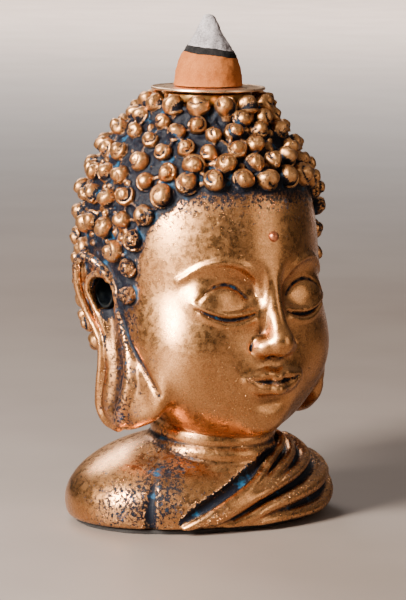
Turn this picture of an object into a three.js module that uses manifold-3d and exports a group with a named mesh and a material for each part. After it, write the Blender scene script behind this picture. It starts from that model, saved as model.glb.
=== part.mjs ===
// Backflow incense burner: a cast Buddha head on a small bust, with its brass fittings, smoke
// passage, drip plate and incense cone. Millimetres, +Z up. The face looks along -Y, and the
// origin is under the middle of the object, on the surface that it stands on.

import * as THREE from 'three';
import { mergeVertices } from 'three/addons/utils/BufferGeometryUtils.js';
import Module from 'manifold-3d';

const wasm = await Module();
wasm.setup();

// Driving dimensions
const GAP = 0.3;                    // clearance between neighbouring pieces

const FELT_THICKNESS = 1.0;
const TORSO_CENTRE = new THREE.Vector3(-0.5, 1, 5);
const TORSO_RADII = new THREE.Vector3(32.5, 24, 15.5);
const ROBE_THICKNESS = 1.0;
const FELT_INSET = 2;
// The robe's edge in plan, from the right front round the neck to the right back.
const ROBE_EDGE = [
  [-14.5, -20.5], [-6, -22], [2, -20], [9, -15], [14, -8], [15, 3], [10, 13], [-4, 18], [-20, 17],
];
const ROBE_FOLD_COUNT = 4;
const ROBE_FOLD_RADIUS = 1.5;
const POUR_HOLE_RADIUS = 11;
const POUR_HOLE_TOP = 11;
const PLUG_THICKNESS = 3;

const NECK_Y = -4.5;
const NECK_RADIUS = 13.6;
const NECK_FOOT = 8;
const NECK_TOP = 26;
// The neck's ring folds from the chest up: how far out of NECK_RADIUS, and the height.
const NECK_FOLDS = [
  [2.4, NECK_FOOT], [2.4, 13.6], [1.9, 15.2], [0.6, 15.9], [1, 17.6], [0.1, 19.2], [0.3, 20.8], [-0.6, 22.6],
];
const SPIGOT_RADIUS = 9;
const SPIGOT_TOP = 34;

const HAIR_CENTRE = new THREE.Vector3(0, 1.8, 65);
const HAIR_RADII = new THREE.Vector3(27, 30, 32);
const CROWN_FLAT = 94.2;            // the hair is level here, under the ferrule
const CURL_PITCH = 7.2;             // between the bosses that stand for the curls
const CURL_TOP_SHRINK = 0.22;       // how much closer they stand on the top row
const CURL_RISE = 2.4;              // how far a boss stands out of the hair
const CURL_ROW_OFFSET = 0.9;        // moves all rows down, in rows
const NAPE_Z = 29;
// The hair's lower edge: degrees round the head from the face, and the height there.
const HAIRLINE = [
  [0, 76], [35, 76], [60, 72.5], [70, 67.5], [76, 54], [82, 52], [83, 63], [112, 63], [116, 40],
  [130, NAPE_Z + 2], [180, NAPE_Z],
];

const CROWN_Y = -1;                 // the axis of the plate, the ferrule and the cone
const FERRULE_RADIUS = 9.9;
const FERRULE_TOP = 97.4;
const FERRULE_BORE_RADIUS = 5.6;
const FERRULE_SLEEVE_RADIUS = 6.6;
const FERRULE_SLEEVE_BOTTOM = 88;
const TUBE_RADIUS = 4;
const TUBE_BORE_RADIUS = 3.3;
const TUBE_BOTTOM = 60;
const TUBE_TOP = 94;

const CHAMBER_Y = 0.7;
const CHAMBER_RADIUS = 8;
const CHAMBER_BOTTOM = 46;
const CHAMBER_TOP = 63;

const EAR_X = 27.3;
const EAR_THICKNESS = 4.4;
const EAR_EDGE = 1;
const EAR_FLARE = 14 * Math.PI / 180;
const EAR_LEAN = 7 * Math.PI / 180;
// The ear seen from the side, with its long lobe: how far back, and the height.
const EAR_OUTLINE = [
  [-2, 50], [-0.5, 57.5], [4, 61], [8.6, 58.5], [9.2, 51], [7, 43], [5, 35.5], [4.4, 28.5], [0, 23.4],
  [-6, 23], [-10.4, 27.5], [-9.4, 33.5], [-4.5, 40],
];
const EAR_HOLE_Y = 2.4;
const EAR_HOLE_Z = 53;
const LINER_RADIUS = 3.7;
const LINER_BORE_RADIUS = 3.1;
const LINER_INNER_X = 12;
const LINER_OUTER_X = 25.5;

// A calm, plain face: the middle and the half sizes of each rounded mass.
const CHEEKS = { middle: [0, -4.5, 48], half: [24.5, 23.5, 29] };
const CHIN = { middle: [0, -15.5, 28.3], half: [10, 10.5, 8] };
const NOSE = { middle: [0, -28.2, 48], half: [2.6, 5.4, 8] };
const MOUTH = { middle: [0, -24.6, 37], half: [6, 3.6, 2.6] };

const URNA_Z = 67;
const URNA_RADIUS = 1.2;

const PLATE_RADIUS = 13;
const PLATE_THICKNESS = 0.8;
const PLATE_HOLE_RADIUS = 2;
const SKIRT_RADIUS = 5.2;
const SKIRT_BORE_RADIUS = 4.4;
const SKIRT_LENGTH = 2.6;

const CONE_RADIUS = 7.9;
const CONE_HEIGHT = 16;
const CONE_TIP_RADIUS = 0.8;
const CONE_TIP_ROUNDING = 0.025;    // part of the height that the rounded tip takes
const CONE_BULGE = 0.35;            // how far the sides stand out from a straight cone
const CONE_BORE_RADIUS = 1.7;
const CONE_BORE_DEPTH = 5.4;
const EMBER_HEIGHT = 7.3;           // middle of the char band, above the cone's base
const EMBER_THICKNESS = 1.5;
const EMBER_TILT = 9 * Math.PI / 180;
const EMBER_TILT_AXIS = new THREE.Vector3(0.574, 0.819, 0);

const PLATE_BOTTOM = FERRULE_TOP + GAP;
const PLATE_TOP = PLATE_BOTTOM + PLATE_THICKNESS;
const CONE_BASE = PLATE_TOP + GAP;
const BUST_BOTTOM = FELT_THICKNESS + GAP;

// Solids

function solidOf(geometry) {
  const bare = geometry.clone();
  bare.deleteAttribute('normal');
  bare.deleteAttribute('uv');
  const merged = mergeVertices(bare, 1e-4);
  const vertProperties = new Float32Array(merged.attributes.position.array);
  const triVerts = new Uint32Array(merged.index.array);
  return new wasm.Manifold(new wasm.Mesh({ numProp: 3, vertProperties, triVerts }));
}

function geometryOf(solid) {
  const { vertProperties, triVerts } = solid.getMesh();
  const geometry = new THREE.BufferGeometry();
  geometry.setAttribute('position', new THREE.BufferAttribute(vertProperties, 3));
  geometry.setIndex(new THREE.BufferAttribute(triVerts, 1));
  return geometry;
}

function joined(solids) {
  return solids.reduce((whole, next) => whole.add(next));
}

function ellipsoid(centre, radii, around = 24, along = 14) {
  const geometry = new THREE.SphereGeometry(1, around, along);
  geometry.rotateX(Math.PI / 2);
  geometry.scale(radii.x, radii.y, radii.z);
  geometry.translate(centre.x, centre.y, centre.z);
  return solidOf(geometry);
}

// A turned solid about a vertical axis; each profile point is [radius, height].
function turned(profile, { x = 0, y = 0, segments = 24, stretchY = 1 } = {}) {
  const points = profile.map(([radius, height]) => new THREE.Vector2(radius, height));
  const geometry = new THREE.LatheGeometry(points, segments);
  geometry.rotateX(Math.PI / 2);
  geometry.scale(1, stretchY, 1);
  geometry.translate(x, y, 0);
  return solidOf(geometry);
}

function rod(radius, bottom, top, place = {}) {
  return turned([[0, bottom], [radius, bottom], [radius, top], [0, top]], place);
}

function pipe(radius, bore, bottom, top, place = {}) {
  const wall = [[bore, bottom], [radius, bottom], [radius, top], [bore, top], [bore, bottom]];
  return turned(wall, place);
}

// A rod or pipe that lies along X instead of standing along Z.
function laid(solid, y, z) {
  return solid.rotate([0, 90, 0]).translate([0, y, z]);
}

// A cylindrical ridge that follows a curve through the given points.
function ridge(points, radius, steps = 14) {
  const path = new THREE.CatmullRomCurve3(points.map(([x, y, z]) => new THREE.Vector3(x, y, z)));
  const section = new THREE.Shape();
  section.absarc(0, 0, radius, 0, 2 * Math.PI);
  const options = { extrudePath: path, steps, curveSegments: 4, bevelEnabled: false };
  return solidOf(new THREE.ExtrudeGeometry(section, options));
}

function mesh(name, solid, { color, roughness, metalness }) {
  const material = new THREE.MeshStandardMaterial({ color, roughness, metalness });
  const piece = new THREE.Mesh(geometryOf(solid), material);
  piece.name = name;
  return piece;
}

// Finishes
const COPPER_RUB = { color: 0xb5713c, roughness: 0.38, metalness: 0.85 };
const RED_COPPER = { color: 0xa84a28, roughness: 0.45, metalness: 0.8 };
const BRASS = { color: 0xa9742e, roughness: 0.35, metalness: 1 };
const PLATE_COPPER = { color: 0xd9a98a, roughness: 0.3, metalness: 1 };
const FILLER = { color: 0xb9b0a2, roughness: 0.8, metalness: 0 };
const FELT = { color: 0x2a2320, roughness: 1, metalness: 0 };
const INCENSE = { color: 0xc98a5c, roughness: 0.95, metalness: 0 };
const CHAR = { color: 0x3a3a3f, roughness: 0.95, metalness: 0 };
const ASH = { color: 0xc9c3c6, roughness: 1, metalness: 0 };

// Bust

// The neck with its three ring folds, grown by the given clearance.
function neckProfile(extra = 0) {
  const sides = NECK_FOLDS.map(([out, height]) => [NECK_RADIUS + out + extra, height]);
  const top = NECK_TOP + extra;
  const [topRadius] = sides[sides.length - 1];
  return [[0, NECK_FOOT], ...sides, [topRadius, top], [0, top]];
}

// The point of the torso's surface over a place in plan.
function onTorso([x, y]) {
  const across = (x - TORSO_CENTRE.x) / TORSO_RADII.x;
  const deep = (y - TORSO_CENTRE.y) / TORSO_RADII.y;
  const rise = Math.sqrt(Math.max(1 - across * across - deep * deep, 0));
  return [x, y, TORSO_CENTRE.z + TORSO_RADII.z * rise];
}

// The robe covers the left shoulder and the back, and leaves the right shoulder and chest bare.
function robe() {
  const outline = new THREE.Shape();
  outline.moveTo(-21, -40);
  outline.lineTo(-21, -17.5);
  outline.splineThru(ROBE_EDGE.map(([x, y]) => new THREE.Vector2(x, y)));
  outline.lineTo(-40, 30);
  outline.lineTo(-40, 45);
  outline.lineTo(50, 45);
  outline.lineTo(50, -40);
  const upright = { depth: 60, curveSegments: 2, bevelEnabled: false };
  const prism = new THREE.ExtrudeGeometry(outline, upright);
  const shell = TORSO_RADII.clone().addScalar(ROBE_THICKNESS);
  return ellipsoid(TORSO_CENTRE, shell, 36, 18).intersect(solidOf(prism));
}

function robeFolds() {
  const folds = [];
  for (let i = 0; i < ROBE_FOLD_COUNT; i += 1) {
    const t = (i + 0.6) / ROBE_FOLD_COUNT;
    const plan = [[15 + 10 * t, 7], [15.5 + 12 * t, -5], [9 + 13 * t, -14 - t], [-3 + 9 * t, -20.5]];
    folds.push(ridge(plan.map(onTorso), ROBE_FOLD_RADIUS, 8));
  }
  return folds;
}

function bustCasting() {
  const torso = ellipsoid(TORSO_CENTRE, TORSO_RADII, 36, 18);
  const neck = turned(neckProfile(), { y: NECK_Y, segments: 28 });
  const spigot = rod(SPIGOT_RADIUS, NECK_TOP - 1, SPIGOT_TOP, { y: NECK_Y, segments: 20 });
  const body = joined([torso, robe(), ...robeFolds(), neck, spigot]);
  const below = new THREE.BoxGeometry(100, 100, 40).translate(0, 0, BUST_BOTTOM - 20);
  const pourHole = rod(POUR_HOLE_RADIUS, 0, POUR_HOLE_TOP, { y: TORSO_CENTRE.y });
  return body.subtract(solidOf(below)).subtract(pourHole);
}

function basePlug() {
  const top = BUST_BOTTOM + PLUG_THICKNESS;
  return rod(POUR_HOLE_RADIUS - GAP, BUST_BOTTOM, top, { y: TORSO_CENTRE.y });
}

function feltBasePad() {
  const radius = TORSO_RADII.x - FELT_INSET;
  const depth = TORSO_RADII.y - FELT_INSET;
  const place = { y: TORSO_CENTRE.y, segments: 40, stretchY: depth / radius };
  return rod(radius, 0, FELT_THICKNESS, place);
}

// Head

// Height of the hair's lower edge at an angle round the head, 0 at the face and 180 at the nape.
function hairline(degrees) {
  const next = HAIRLINE.findIndex(([at]) => at >= degrees);
  if (next <= 0) return HAIRLINE[0][1];
  const [from, low] = HAIRLINE[next - 1];
  const [to, high] = HAIRLINE[next];
  return low + (high - low) * (degrees - from) / (to - from);
}

// Where the bosses stand that stand for the curls, in rows from the crown down to the nape.
function curlPlaces() {
  const places = [];
  const rowCount = Math.round(Math.PI * HAIR_RADII.z / CURL_PITCH);
  for (let row = 1; row < rowCount; row += 1) {
    const polar = Math.PI * (row + CURL_ROW_OFFSET) / rowCount;
    const rise = Math.cos(polar);
    const ring = Math.sin(polar);
    const z = HAIR_CENTRE.z + HAIR_RADII.z * rise;
    const pitch = CURL_PITCH * (1 - CURL_TOP_SHRINK * Math.max(rise, 0));
    const around = Math.PI * ring * (HAIR_RADII.x + HAIR_RADII.y);
    const count = Math.round(around / pitch);
    for (let i = 0; i < count; i += 1) {
      const angle = 2 * Math.PI * (i + (row % 2) / 2) / count;
      const degrees = THREE.MathUtils.radToDeg(Math.min(angle, 2 * Math.PI - angle));
      if (z > hairline(degrees) + pitch * 0.4 && z < CROWN_FLAT - CURL_RISE) {
        const x = HAIR_CENTRE.x + HAIR_RADII.x * ring * Math.sin(angle);
        const y = HAIR_CENTRE.y - HAIR_RADII.y * ring * Math.cos(angle);
        places.push({ centre: new THREE.Vector3(x, y, z), pitch });
      }
    }
  }
  return places;
}

function curls() {
  return curlPlaces().map(({ centre, pitch }) => {
    const outward = centre.clone().sub(HAIR_CENTRE).divide(HAIR_RADII).divide(HAIR_RADII).normalize();
    const turn = new THREE.Quaternion().setFromUnitVectors(new THREE.Vector3(0, 1, 0), outward);
    const geometry = new THREE.OctahedronGeometry(1);
    geometry.scale(pitch * 0.47, CURL_RISE, pitch * 0.47);
    geometry.applyQuaternion(turn);
    geometry.translate(centre.x, centre.y, centre.z);
    return solidOf(geometry);
  });
}

// One ear: a flat plate with the long hanging lobe, flared at the back and leaning in at the foot.
function ear(side) {
  const [first, ...others] = EAR_OUTLINE.map(([back, height]) => new THREE.Vector2(back, height));
  const outline = new THREE.Shape();
  outline.moveTo(first.x, first.y);
  outline.splineThru([...others, first]);
  const depth = EAR_THICKNESS - 2 * EAR_EDGE;
  const geometry = new THREE.ExtrudeGeometry(outline, {
    depth, curveSegments: 2, bevelThickness: EAR_EDGE, bevelSize: EAR_EDGE, bevelSegments: 2,
  });
  geometry.translate(0, 0, -depth / 2);
  geometry.applyMatrix4(new THREE.Matrix4().set(0, 0, 1, 0, 1, 0, 0, 0, 0, 1, 0, 0, 0, 0, 0, 1));
  geometry.translate(0, -EAR_HOLE_Y, -EAR_HOLE_Z);
  geometry.rotateZ(-side * EAR_FLARE);
  geometry.rotateY(side * EAR_LEAN);
  geometry.translate(side * EAR_X, EAR_HOLE_Y, EAR_HOLE_Z);
  return solidOf(geometry);
}

function mass({ middle, half }, around, along) {
  return ellipsoid(new THREE.Vector3(...middle), new THREE.Vector3(...half), around, along);
}

function face() {
  return joined([mass(CHEEKS, 32, 20), mass(CHIN, 16, 10), mass(NOSE, 12, 10), mass(MOUTH, 12, 8)]);
}

function headCasting() {
  const hair = ellipsoid(HAIR_CENTRE, HAIR_RADII, 24, 14);
  const whole = joined([hair, face(), ear(-1), ear(1), ...curls()]);
  const aboveCrown = rod(HAIR_RADII.x * 2, CROWN_FLAT, CROWN_FLAT + 20);
  const onCrown = { y: CROWN_Y };
  const socketRadius = FERRULE_SLEEVE_RADIUS + GAP;
  const ferruleSocket = rod(socketRadius, FERRULE_SLEEVE_BOTTOM - GAP, CROWN_FLAT + 1, onCrown);
  const tubeBore = rod(TUBE_RADIUS + GAP, CHAMBER_TOP - 3, FERRULE_SLEEVE_BOTTOM + 1, onCrown);
  const chamber = rod(CHAMBER_RADIUS, CHAMBER_BOTTOM, CHAMBER_TOP, { y: CHAMBER_Y });
  const crossBore = laid(rod(LINER_RADIUS + GAP, -40, 40), EAR_HOLE_Y, EAR_HOLE_Z);
  const neck = turned(neckProfile(GAP), { y: NECK_Y });
  const neckSocket = rod(SPIGOT_RADIUS + GAP, NECK_TOP, SPIGOT_TOP + GAP, { y: NECK_Y });
  const dimple = urna(GAP);
  const cuts = [aboveCrown, ferruleSocket, tubeBore, chamber, crossBore, neck, neckSocket, dimple];
  return whole.subtract(joined(cuts));
}

function urna(extra = 0) {
  const lift = (URNA_Z - HAIR_CENTRE.z) / HAIR_RADII.z;
  const front = HAIR_CENTRE.y - HAIR_RADII.y * Math.sqrt(1 - lift * lift);
  const radius = URNA_RADIUS + extra;
  return ellipsoid(new THREE.Vector3(0, front, URNA_Z), new THREE.Vector3(radius, radius, radius), 12, 8);
}

// Smoke passage

function crownFerrule() {
  const bottom = CROWN_FLAT + GAP;
  return turned(
    [
      [TUBE_RADIUS + GAP, FERRULE_SLEEVE_BOTTOM], [FERRULE_SLEEVE_RADIUS, FERRULE_SLEEVE_BOTTOM],
      [FERRULE_SLEEVE_RADIUS, bottom], [FERRULE_RADIUS - 0.4, bottom], [FERRULE_RADIUS, bottom + 0.5],
      [FERRULE_RADIUS, FERRULE_TOP - 0.4], [FERRULE_RADIUS - 0.4, FERRULE_TOP],
      [FERRULE_BORE_RADIUS, FERRULE_TOP], [FERRULE_BORE_RADIUS, TUBE_TOP + GAP],
      [TUBE_RADIUS + GAP, TUBE_TOP + GAP], [TUBE_RADIUS + GAP, FERRULE_SLEEVE_BOTTOM],
    ],
    { y: CROWN_Y },
  );
}

function smokeTube() {
  return pipe(TUBE_RADIUS, TUBE_BORE_RADIUS, TUBE_BOTTOM, TUBE_TOP, { y: CROWN_Y });
}

function earPort(side) {
  const ends = [side * LINER_INNER_X, side * LINER_OUTER_X].sort((a, b) => a - b);
  return laid(pipe(LINER_RADIUS, LINER_BORE_RADIUS, ends[0], ends[1]), EAR_HOLE_Y, EAR_HOLE_Z);
}

function dripPlate() {
  const skirtBottom = PLATE_BOTTOM - SKIRT_LENGTH;
  return turned(
    [
      [PLATE_HOLE_RADIUS, PLATE_BOTTOM], [SKIRT_BORE_RADIUS, PLATE_BOTTOM], [SKIRT_BORE_RADIUS, skirtBottom],
      [SKIRT_RADIUS, skirtBottom], [SKIRT_RADIUS, PLATE_BOTTOM], [PLATE_RADIUS - 0.3, PLATE_BOTTOM],
      [PLATE_RADIUS, PLATE_BOTTOM + 0.3], [PLATE_RADIUS, PLATE_TOP - 0.2], [PLATE_RADIUS - 0.2, PLATE_TOP],
      [PLATE_HOLE_RADIUS, PLATE_TOP], [PLATE_HOLE_RADIUS, PLATE_BOTTOM],
    ],
    { y: CROWN_Y, segments: 48 },
  );
}

// Incense

function wholeCone() {
  const profile = [[0, CONE_BASE]];
  const steps = 10;
  for (let i = 0; i <= steps; i += 1) {
    const t = i / steps;
    const radius = THREE.MathUtils.lerp(CONE_RADIUS, CONE_TIP_RADIUS, t) + CONE_BULGE * Math.sin(Math.PI * t);
    profile.push([radius, CONE_BASE + CONE_HEIGHT * t * (1 - CONE_TIP_ROUNDING)]);
  }
  profile.push([0, CONE_BASE + CONE_HEIGHT]);
  return turned(profile, { y: CROWN_Y });
}

// A tilted slab of space between two heights above the cone's base.
function slab(from, to) {
  const geometry = new THREE.BoxGeometry(40, 40, to - from);
  geometry.translate(0, 0, (from + to) / 2 - EMBER_HEIGHT);
  geometry.applyQuaternion(new THREE.Quaternion().setFromAxisAngle(EMBER_TILT_AXIS, EMBER_TILT));
  geometry.translate(0, CROWN_Y, CONE_BASE + EMBER_HEIGHT);
  return solidOf(geometry);
}

function coneLayer(from, to) {
  return wholeCone().intersect(slab(from, to));
}

function incenseCone() {
  const place = { y: CROWN_Y, segments: 20 };
  const bore = rod(CONE_BORE_RADIUS, CONE_BASE - 1, CONE_BASE + CONE_BORE_DEPTH, place);
  return coneLayer(-10, EMBER_HEIGHT - EMBER_THICKNESS / 2).subtract(bore);
}

function coneCharBand() {
  return coneLayer(EMBER_HEIGHT - EMBER_THICKNESS / 2 + GAP, EMBER_HEIGHT + EMBER_THICKNESS / 2);
}

function coneAshTip() {
  return coneLayer(EMBER_HEIGHT + EMBER_THICKNESS / 2 + GAP, CONE_HEIGHT + 10);
}

// Assembly
const statue = new THREE.Group();
statue.add(
  mesh('felt_base_pad', feltBasePad(), FELT),
  mesh('base_plug', basePlug(), FILLER),
  mesh('bust_casting', bustCasting(), COPPER_RUB),
  mesh('head_casting', headCasting(), COPPER_RUB),
  mesh('urna_bead', urna(), RED_COPPER),
  mesh('ear_port_right', earPort(-1), BRASS),
  mesh('ear_port_left', earPort(1), BRASS),
  mesh('smoke_tube', smokeTube(), BRASS),
  mesh('crown_ferrule', crownFerrule(), BRASS),
);

const liftOffPlate = new THREE.Group();
liftOffPlate.add(mesh('drip_plate', dripPlate(), PLATE_COPPER));
statue.add(liftOffPlate);

const liftOffCone = new THREE.Group();
liftOffCone.add(
  mesh('incense_cone', incenseCone(), INCENSE),
  mesh('cone_char_band', coneCharBand(), CHAR),
  mesh('cone_ash_tip', coneAshTip(), ASH),
);
liftOffPlate.add(liftOffCone);

export default statue;
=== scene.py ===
"""The look of a cast Buddha-head incense burner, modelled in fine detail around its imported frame.

The castings are sculpted as blocks of signed distances in millimetres, meshed and thinned. They
carry the vertex attributes that the copper material reads: how sunk, worn, dark and raised each
place is, and whether it is hair. The metal fittings, the felt and the incense are turned profiles.
"""

import math

import bmesh
import bpy
import numpy as np
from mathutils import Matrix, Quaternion, Vector


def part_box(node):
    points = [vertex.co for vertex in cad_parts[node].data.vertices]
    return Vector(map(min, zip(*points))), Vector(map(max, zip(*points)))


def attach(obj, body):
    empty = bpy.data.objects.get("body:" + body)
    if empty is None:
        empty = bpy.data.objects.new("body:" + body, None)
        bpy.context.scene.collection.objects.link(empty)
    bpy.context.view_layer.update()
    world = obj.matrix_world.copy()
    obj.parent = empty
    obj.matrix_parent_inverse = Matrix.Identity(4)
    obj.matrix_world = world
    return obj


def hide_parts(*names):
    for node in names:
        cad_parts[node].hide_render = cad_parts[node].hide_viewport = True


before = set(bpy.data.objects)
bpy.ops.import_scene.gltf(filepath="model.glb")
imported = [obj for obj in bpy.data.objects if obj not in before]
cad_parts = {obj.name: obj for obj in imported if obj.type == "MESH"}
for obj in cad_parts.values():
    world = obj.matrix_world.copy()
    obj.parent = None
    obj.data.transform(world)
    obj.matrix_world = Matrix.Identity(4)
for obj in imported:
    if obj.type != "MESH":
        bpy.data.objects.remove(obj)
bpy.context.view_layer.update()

MM = 0.001
SEED = 11
FAR = 50.0
TINY = 1e-6
# The gap round each fitted part, and the clay left round each casting.
CLEARANCE = 0.3
MARGIN = 2.4
VOXEL = 0.3
HEAD_FACES = 190_000
BUST_FACES = 110_000


def box_mm(node, width_axis=0):
    """A node's lowest and highest corners, and half its width, in millimetres."""
    low, high = (np.array(corner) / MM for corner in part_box(node))
    return low, high, (high[width_axis] - low[width_axis]) / 2


# Signed-distance sculpting, in millimetres


def smooth_min(a, b, blend):
    if blend <= 0:
        return np.minimum(a, b)
    near = np.maximum(blend - np.abs(a - b), 0) / blend
    return np.minimum(a, b) - near * near * (blend / 4)


class Clay:
    """A block of signed distances, negative inside the material."""

    def __init__(self, low, high, step):
        self.step = step
        self.low = np.array(low, np.float32)
        self.count = np.ceil((np.array(high) - self.low) / step).astype(int) + 1
        self.axes = [(self.low[i] + step * np.arange(self.count[i])).astype(np.float32)
                     for i in range(3)]
        self.d = np.full(self.count, FAR, np.float32)
        self.dark = np.zeros(self.count, np.float32)

    def block(self, low, high):
        """The part of the block between two corners, and its coordinates."""
        first = np.floor((np.array(low) - self.low) / self.step).astype(int)
        last = np.ceil((np.array(high) - self.low) / self.step).astype(int) + 1
        first = np.clip(first, 0, self.count - 1)
        last = np.clip(last, first + 1, self.count)
        part = tuple(slice(first[i], last[i]) for i in range(3))
        x = self.axes[0][part[0]][:, None, None]
        y = self.axes[1][part[1]][None, :, None]
        z = self.axes[2][part[2]][None, None, :]
        return part, x, y, z

    def near(self, shape, margin):
        """The part of the block round a shape, and the shape's own distances there."""
        distance, low, high = shape
        part, x, y, z = self.block(np.array(low) - margin, np.array(high) + margin)
        return part, distance(x, y, z)

    def add(self, shape, blend=0.0):
        part, field = self.near(shape, blend + 1)
        self.d[part] = smooth_min(self.d[part], field, blend)

    def cut(self, shape, blend=0.0):
        part, field = self.near(shape, blend + 1)
        self.d[part] = -smooth_min(-self.d[part], field, blend)

    def darken(self, part, distance, fade):
        """Leaves the dark ground inside a distance of nought, and fades it out round there."""
        self.dark[part] = np.maximum(self.dark[part], np.clip(0.5 - distance / fade, 0, 1))

    def stain(self, centre, radii):
        """Marks a place where the dark ground was never covered."""
        part, field = self.near(ellipsoid(centre, radii), 1.0)
        self.darken(part, field, 1.0)

    def stroke(self, path, blend, cut=False, dark=0.0):
        """Draws a round stroke along [x, y, z, radius] points: raised, or sunk with cut.

        A sunk one can leave the dark ground that far beyond its radius, and a raised one is clean.
        """
        path = np.asarray(path, np.float32)
        reach = path[:, 3].max() + blend + dark + 3 * self.step
        part, x, y, z = self.block(path[:, :3].min(0) - reach, path[:, :3].max(0) + reach)
        field = np.full(self.d[part].shape, FAR, np.float32)
        origin = [part[i].start for i in range(3)]
        for a, b in zip(path[:-1], path[1:]):
            near = max(a[3], b[3]) + blend + dark + 2 * self.step
            piece, px, py, pz = self.block(np.minimum(a, b)[:3] - near, np.maximum(a, b)[:3] + near)
            local = tuple(slice(piece[i].start - origin[i], piece[i].stop - origin[i]) for i in range(3))
            ax, ay, az = along = b[:3] - a[:3]
            length = float(along @ along) + 1e-9
            dx, dy, dz = px - a[0], py - a[1], pz - a[2]
            t = np.clip((dx * ax + dy * ay + dz * az) / length, 0, 1)
            gap = np.sqrt((dx - t * ax) ** 2 + (dy - t * ay) ** 2 + (dz - t * az) ** 2)
            field[local] = np.minimum(field[local], gap - (a[3] + t * (b[3] - a[3])))
        if not cut:
            self.d[part] = smooth_min(self.d[part], field, blend)
            self.dark[part] *= np.clip(field / 0.5, 0, 1)
            return
        self.d[part] = -smooth_min(-self.d[part], field, blend)
        if dark:
            self.darken(part, field - dark, 1.8)

    def sample(self, points, field=None):
        """Reads a field between its grid points."""
        field = self.d if field is None else field
        at = (np.asarray(points, np.float32) - self.low) / self.step
        at = np.clip(at, 0, np.array(field.shape) - 1.001)
        base = at.astype(int)
        f = at - base
        i, j, k = base.T
        fx, fy, fz = f.T
        low = field[i, j, k] * (1 - fx) + field[i + 1, j, k] * fx
        back = field[i, j + 1, k] * (1 - fx) + field[i + 1, j + 1, k] * fx
        top = field[i, j, k + 1] * (1 - fx) + field[i + 1, j, k + 1] * fx
        far = field[i, j + 1, k + 1] * (1 - fx) + field[i + 1, j + 1, k + 1] * fx
        return (low * (1 - fy) + back * fy) * (1 - fz) + (top * (1 - fy) + far * fy) * fz

    def slope(self, points):
        """Which way the field rises at each point, and how steeply."""
        points = np.asarray(points, np.float32)
        slopes = []
        for axis in range(3):
            shift = np.zeros(3, np.float32)
            shift[axis] = self.step
            slopes.append(self.sample(points + shift) - self.sample(points - shift))
        slope = np.stack(slopes, 1) / (2 * self.step)
        return slope, np.linalg.norm(slope, axis=1, keepdims=True) + TINY

    def settle(self, points, lift=0.0, rounds=6):
        """Moves points along the slope of the field onto the surface, or to a height above it."""
        points = np.array(points, np.float32)
        for _ in range(rounds):
            slope, steepness = self.slope(points)
            off = np.clip(self.sample(points) - lift, -4, 4)[:, None]
            points -= slope / steepness * off / np.maximum(steepness, 0.5)
        return points

    def front(self, x, z):
        """Where a line along +Y first meets the surface at a place seen from the front."""
        y = self.axes[1]
        points = np.stack([np.full_like(y, x), y, np.full_like(y, z)], 1)
        inside = np.nonzero(self.sample(points) < 0)[0]
        return float(y[inside[0]]) if len(inside) else float(self.low[1])

    def blurred(self, sigma):
        """The field, cut off at three sigmas and averaged over a ball of about that size."""
        field = np.clip(self.d, -3 * sigma, 3 * sigma)
        half = max(int(round(sigma / self.step)), 1)
        for axis in range(3):
            for _ in range(2):
                field = box_average(field, half, axis)
        return field


def box_average(field, half, axis):
    """Averages a field over a window of 2 * half + 1 steps along one axis."""
    pad = [(0, 0)] * 3
    pad[axis] = (half + 1, half)
    total = np.cumsum(np.pad(field, pad, mode="edge"), axis=axis, dtype=np.float64)
    width = 2 * half + 1
    count = field.shape[axis]
    upper = np.take(total, range(width, width + count), axis=axis)
    lower = np.take(total, range(0, count), axis=axis)
    return ((upper - lower) / width).astype(np.float32)


def ellipsoid(centre, radii, lean=0.0):
    """An ellipsoid, with its long way tipped sideways about Y by a number of degrees."""
    cx, cy, cz = centre
    rx, ry, rz = radii
    cos, sin = math.cos(math.radians(lean)), math.sin(math.radians(lean))

    def distance(x, y, z):
        px, py, pz = x - cx, (y - cy) / ry, z - cz
        ax = (px * cos - pz * sin) / rx
        az = (px * sin + pz * cos) / rz
        k0 = np.sqrt(ax * ax + py * py + az * az)
        k1 = np.sqrt((ax / rx) ** 2 + (py / ry) ** 2 + (az / rz) ** 2)
        return k0 * (k0 - 1) / np.maximum(k1, TINY)

    reach = np.array([max(rx, rz), ry, max(rx, rz)] if lean else radii)
    return distance, np.array(centre) - reach, np.array(centre) + reach


def rod(centre, radius, low, high, along=2):
    """A cylinder along one axis: it stands upright, or lies along X with 0."""
    across = [axis for axis in range(3) if axis != along]

    def distance(*place):
        side = sum((place[axis] - centre[i]) ** 2 for i, axis in enumerate(across))
        ends = np.maximum(low - place[along], place[along] - high)
        return np.maximum(np.sqrt(side) - radius, ends)

    middle = np.array(centre, float)
    return distance, np.insert(middle - radius, along, low), np.insert(middle + radius, along, high)


def spline(points, per_span=7):
    """A smooth path through the given points, whatever each point holds."""
    points = np.array(points, float)
    ends = np.vstack([2 * points[0] - points[1], points, 2 * points[-1] - points[-2]])
    path = []
    for i in range(1, len(ends) - 2):
        p0, p1, p2, p3 = ends[i - 1:i + 3]
        for t in np.arange(per_span) / per_span:
            path.append(0.5 * (2 * p1 + (p2 - p0) * t + (2 * p0 - 5 * p1 + 4 * p2 - p3) * t * t
                               + (3 * p1 - p0 - 3 * p2 + p3) * t ** 3))
    path.append(points[-1])
    return np.array(path)


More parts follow.
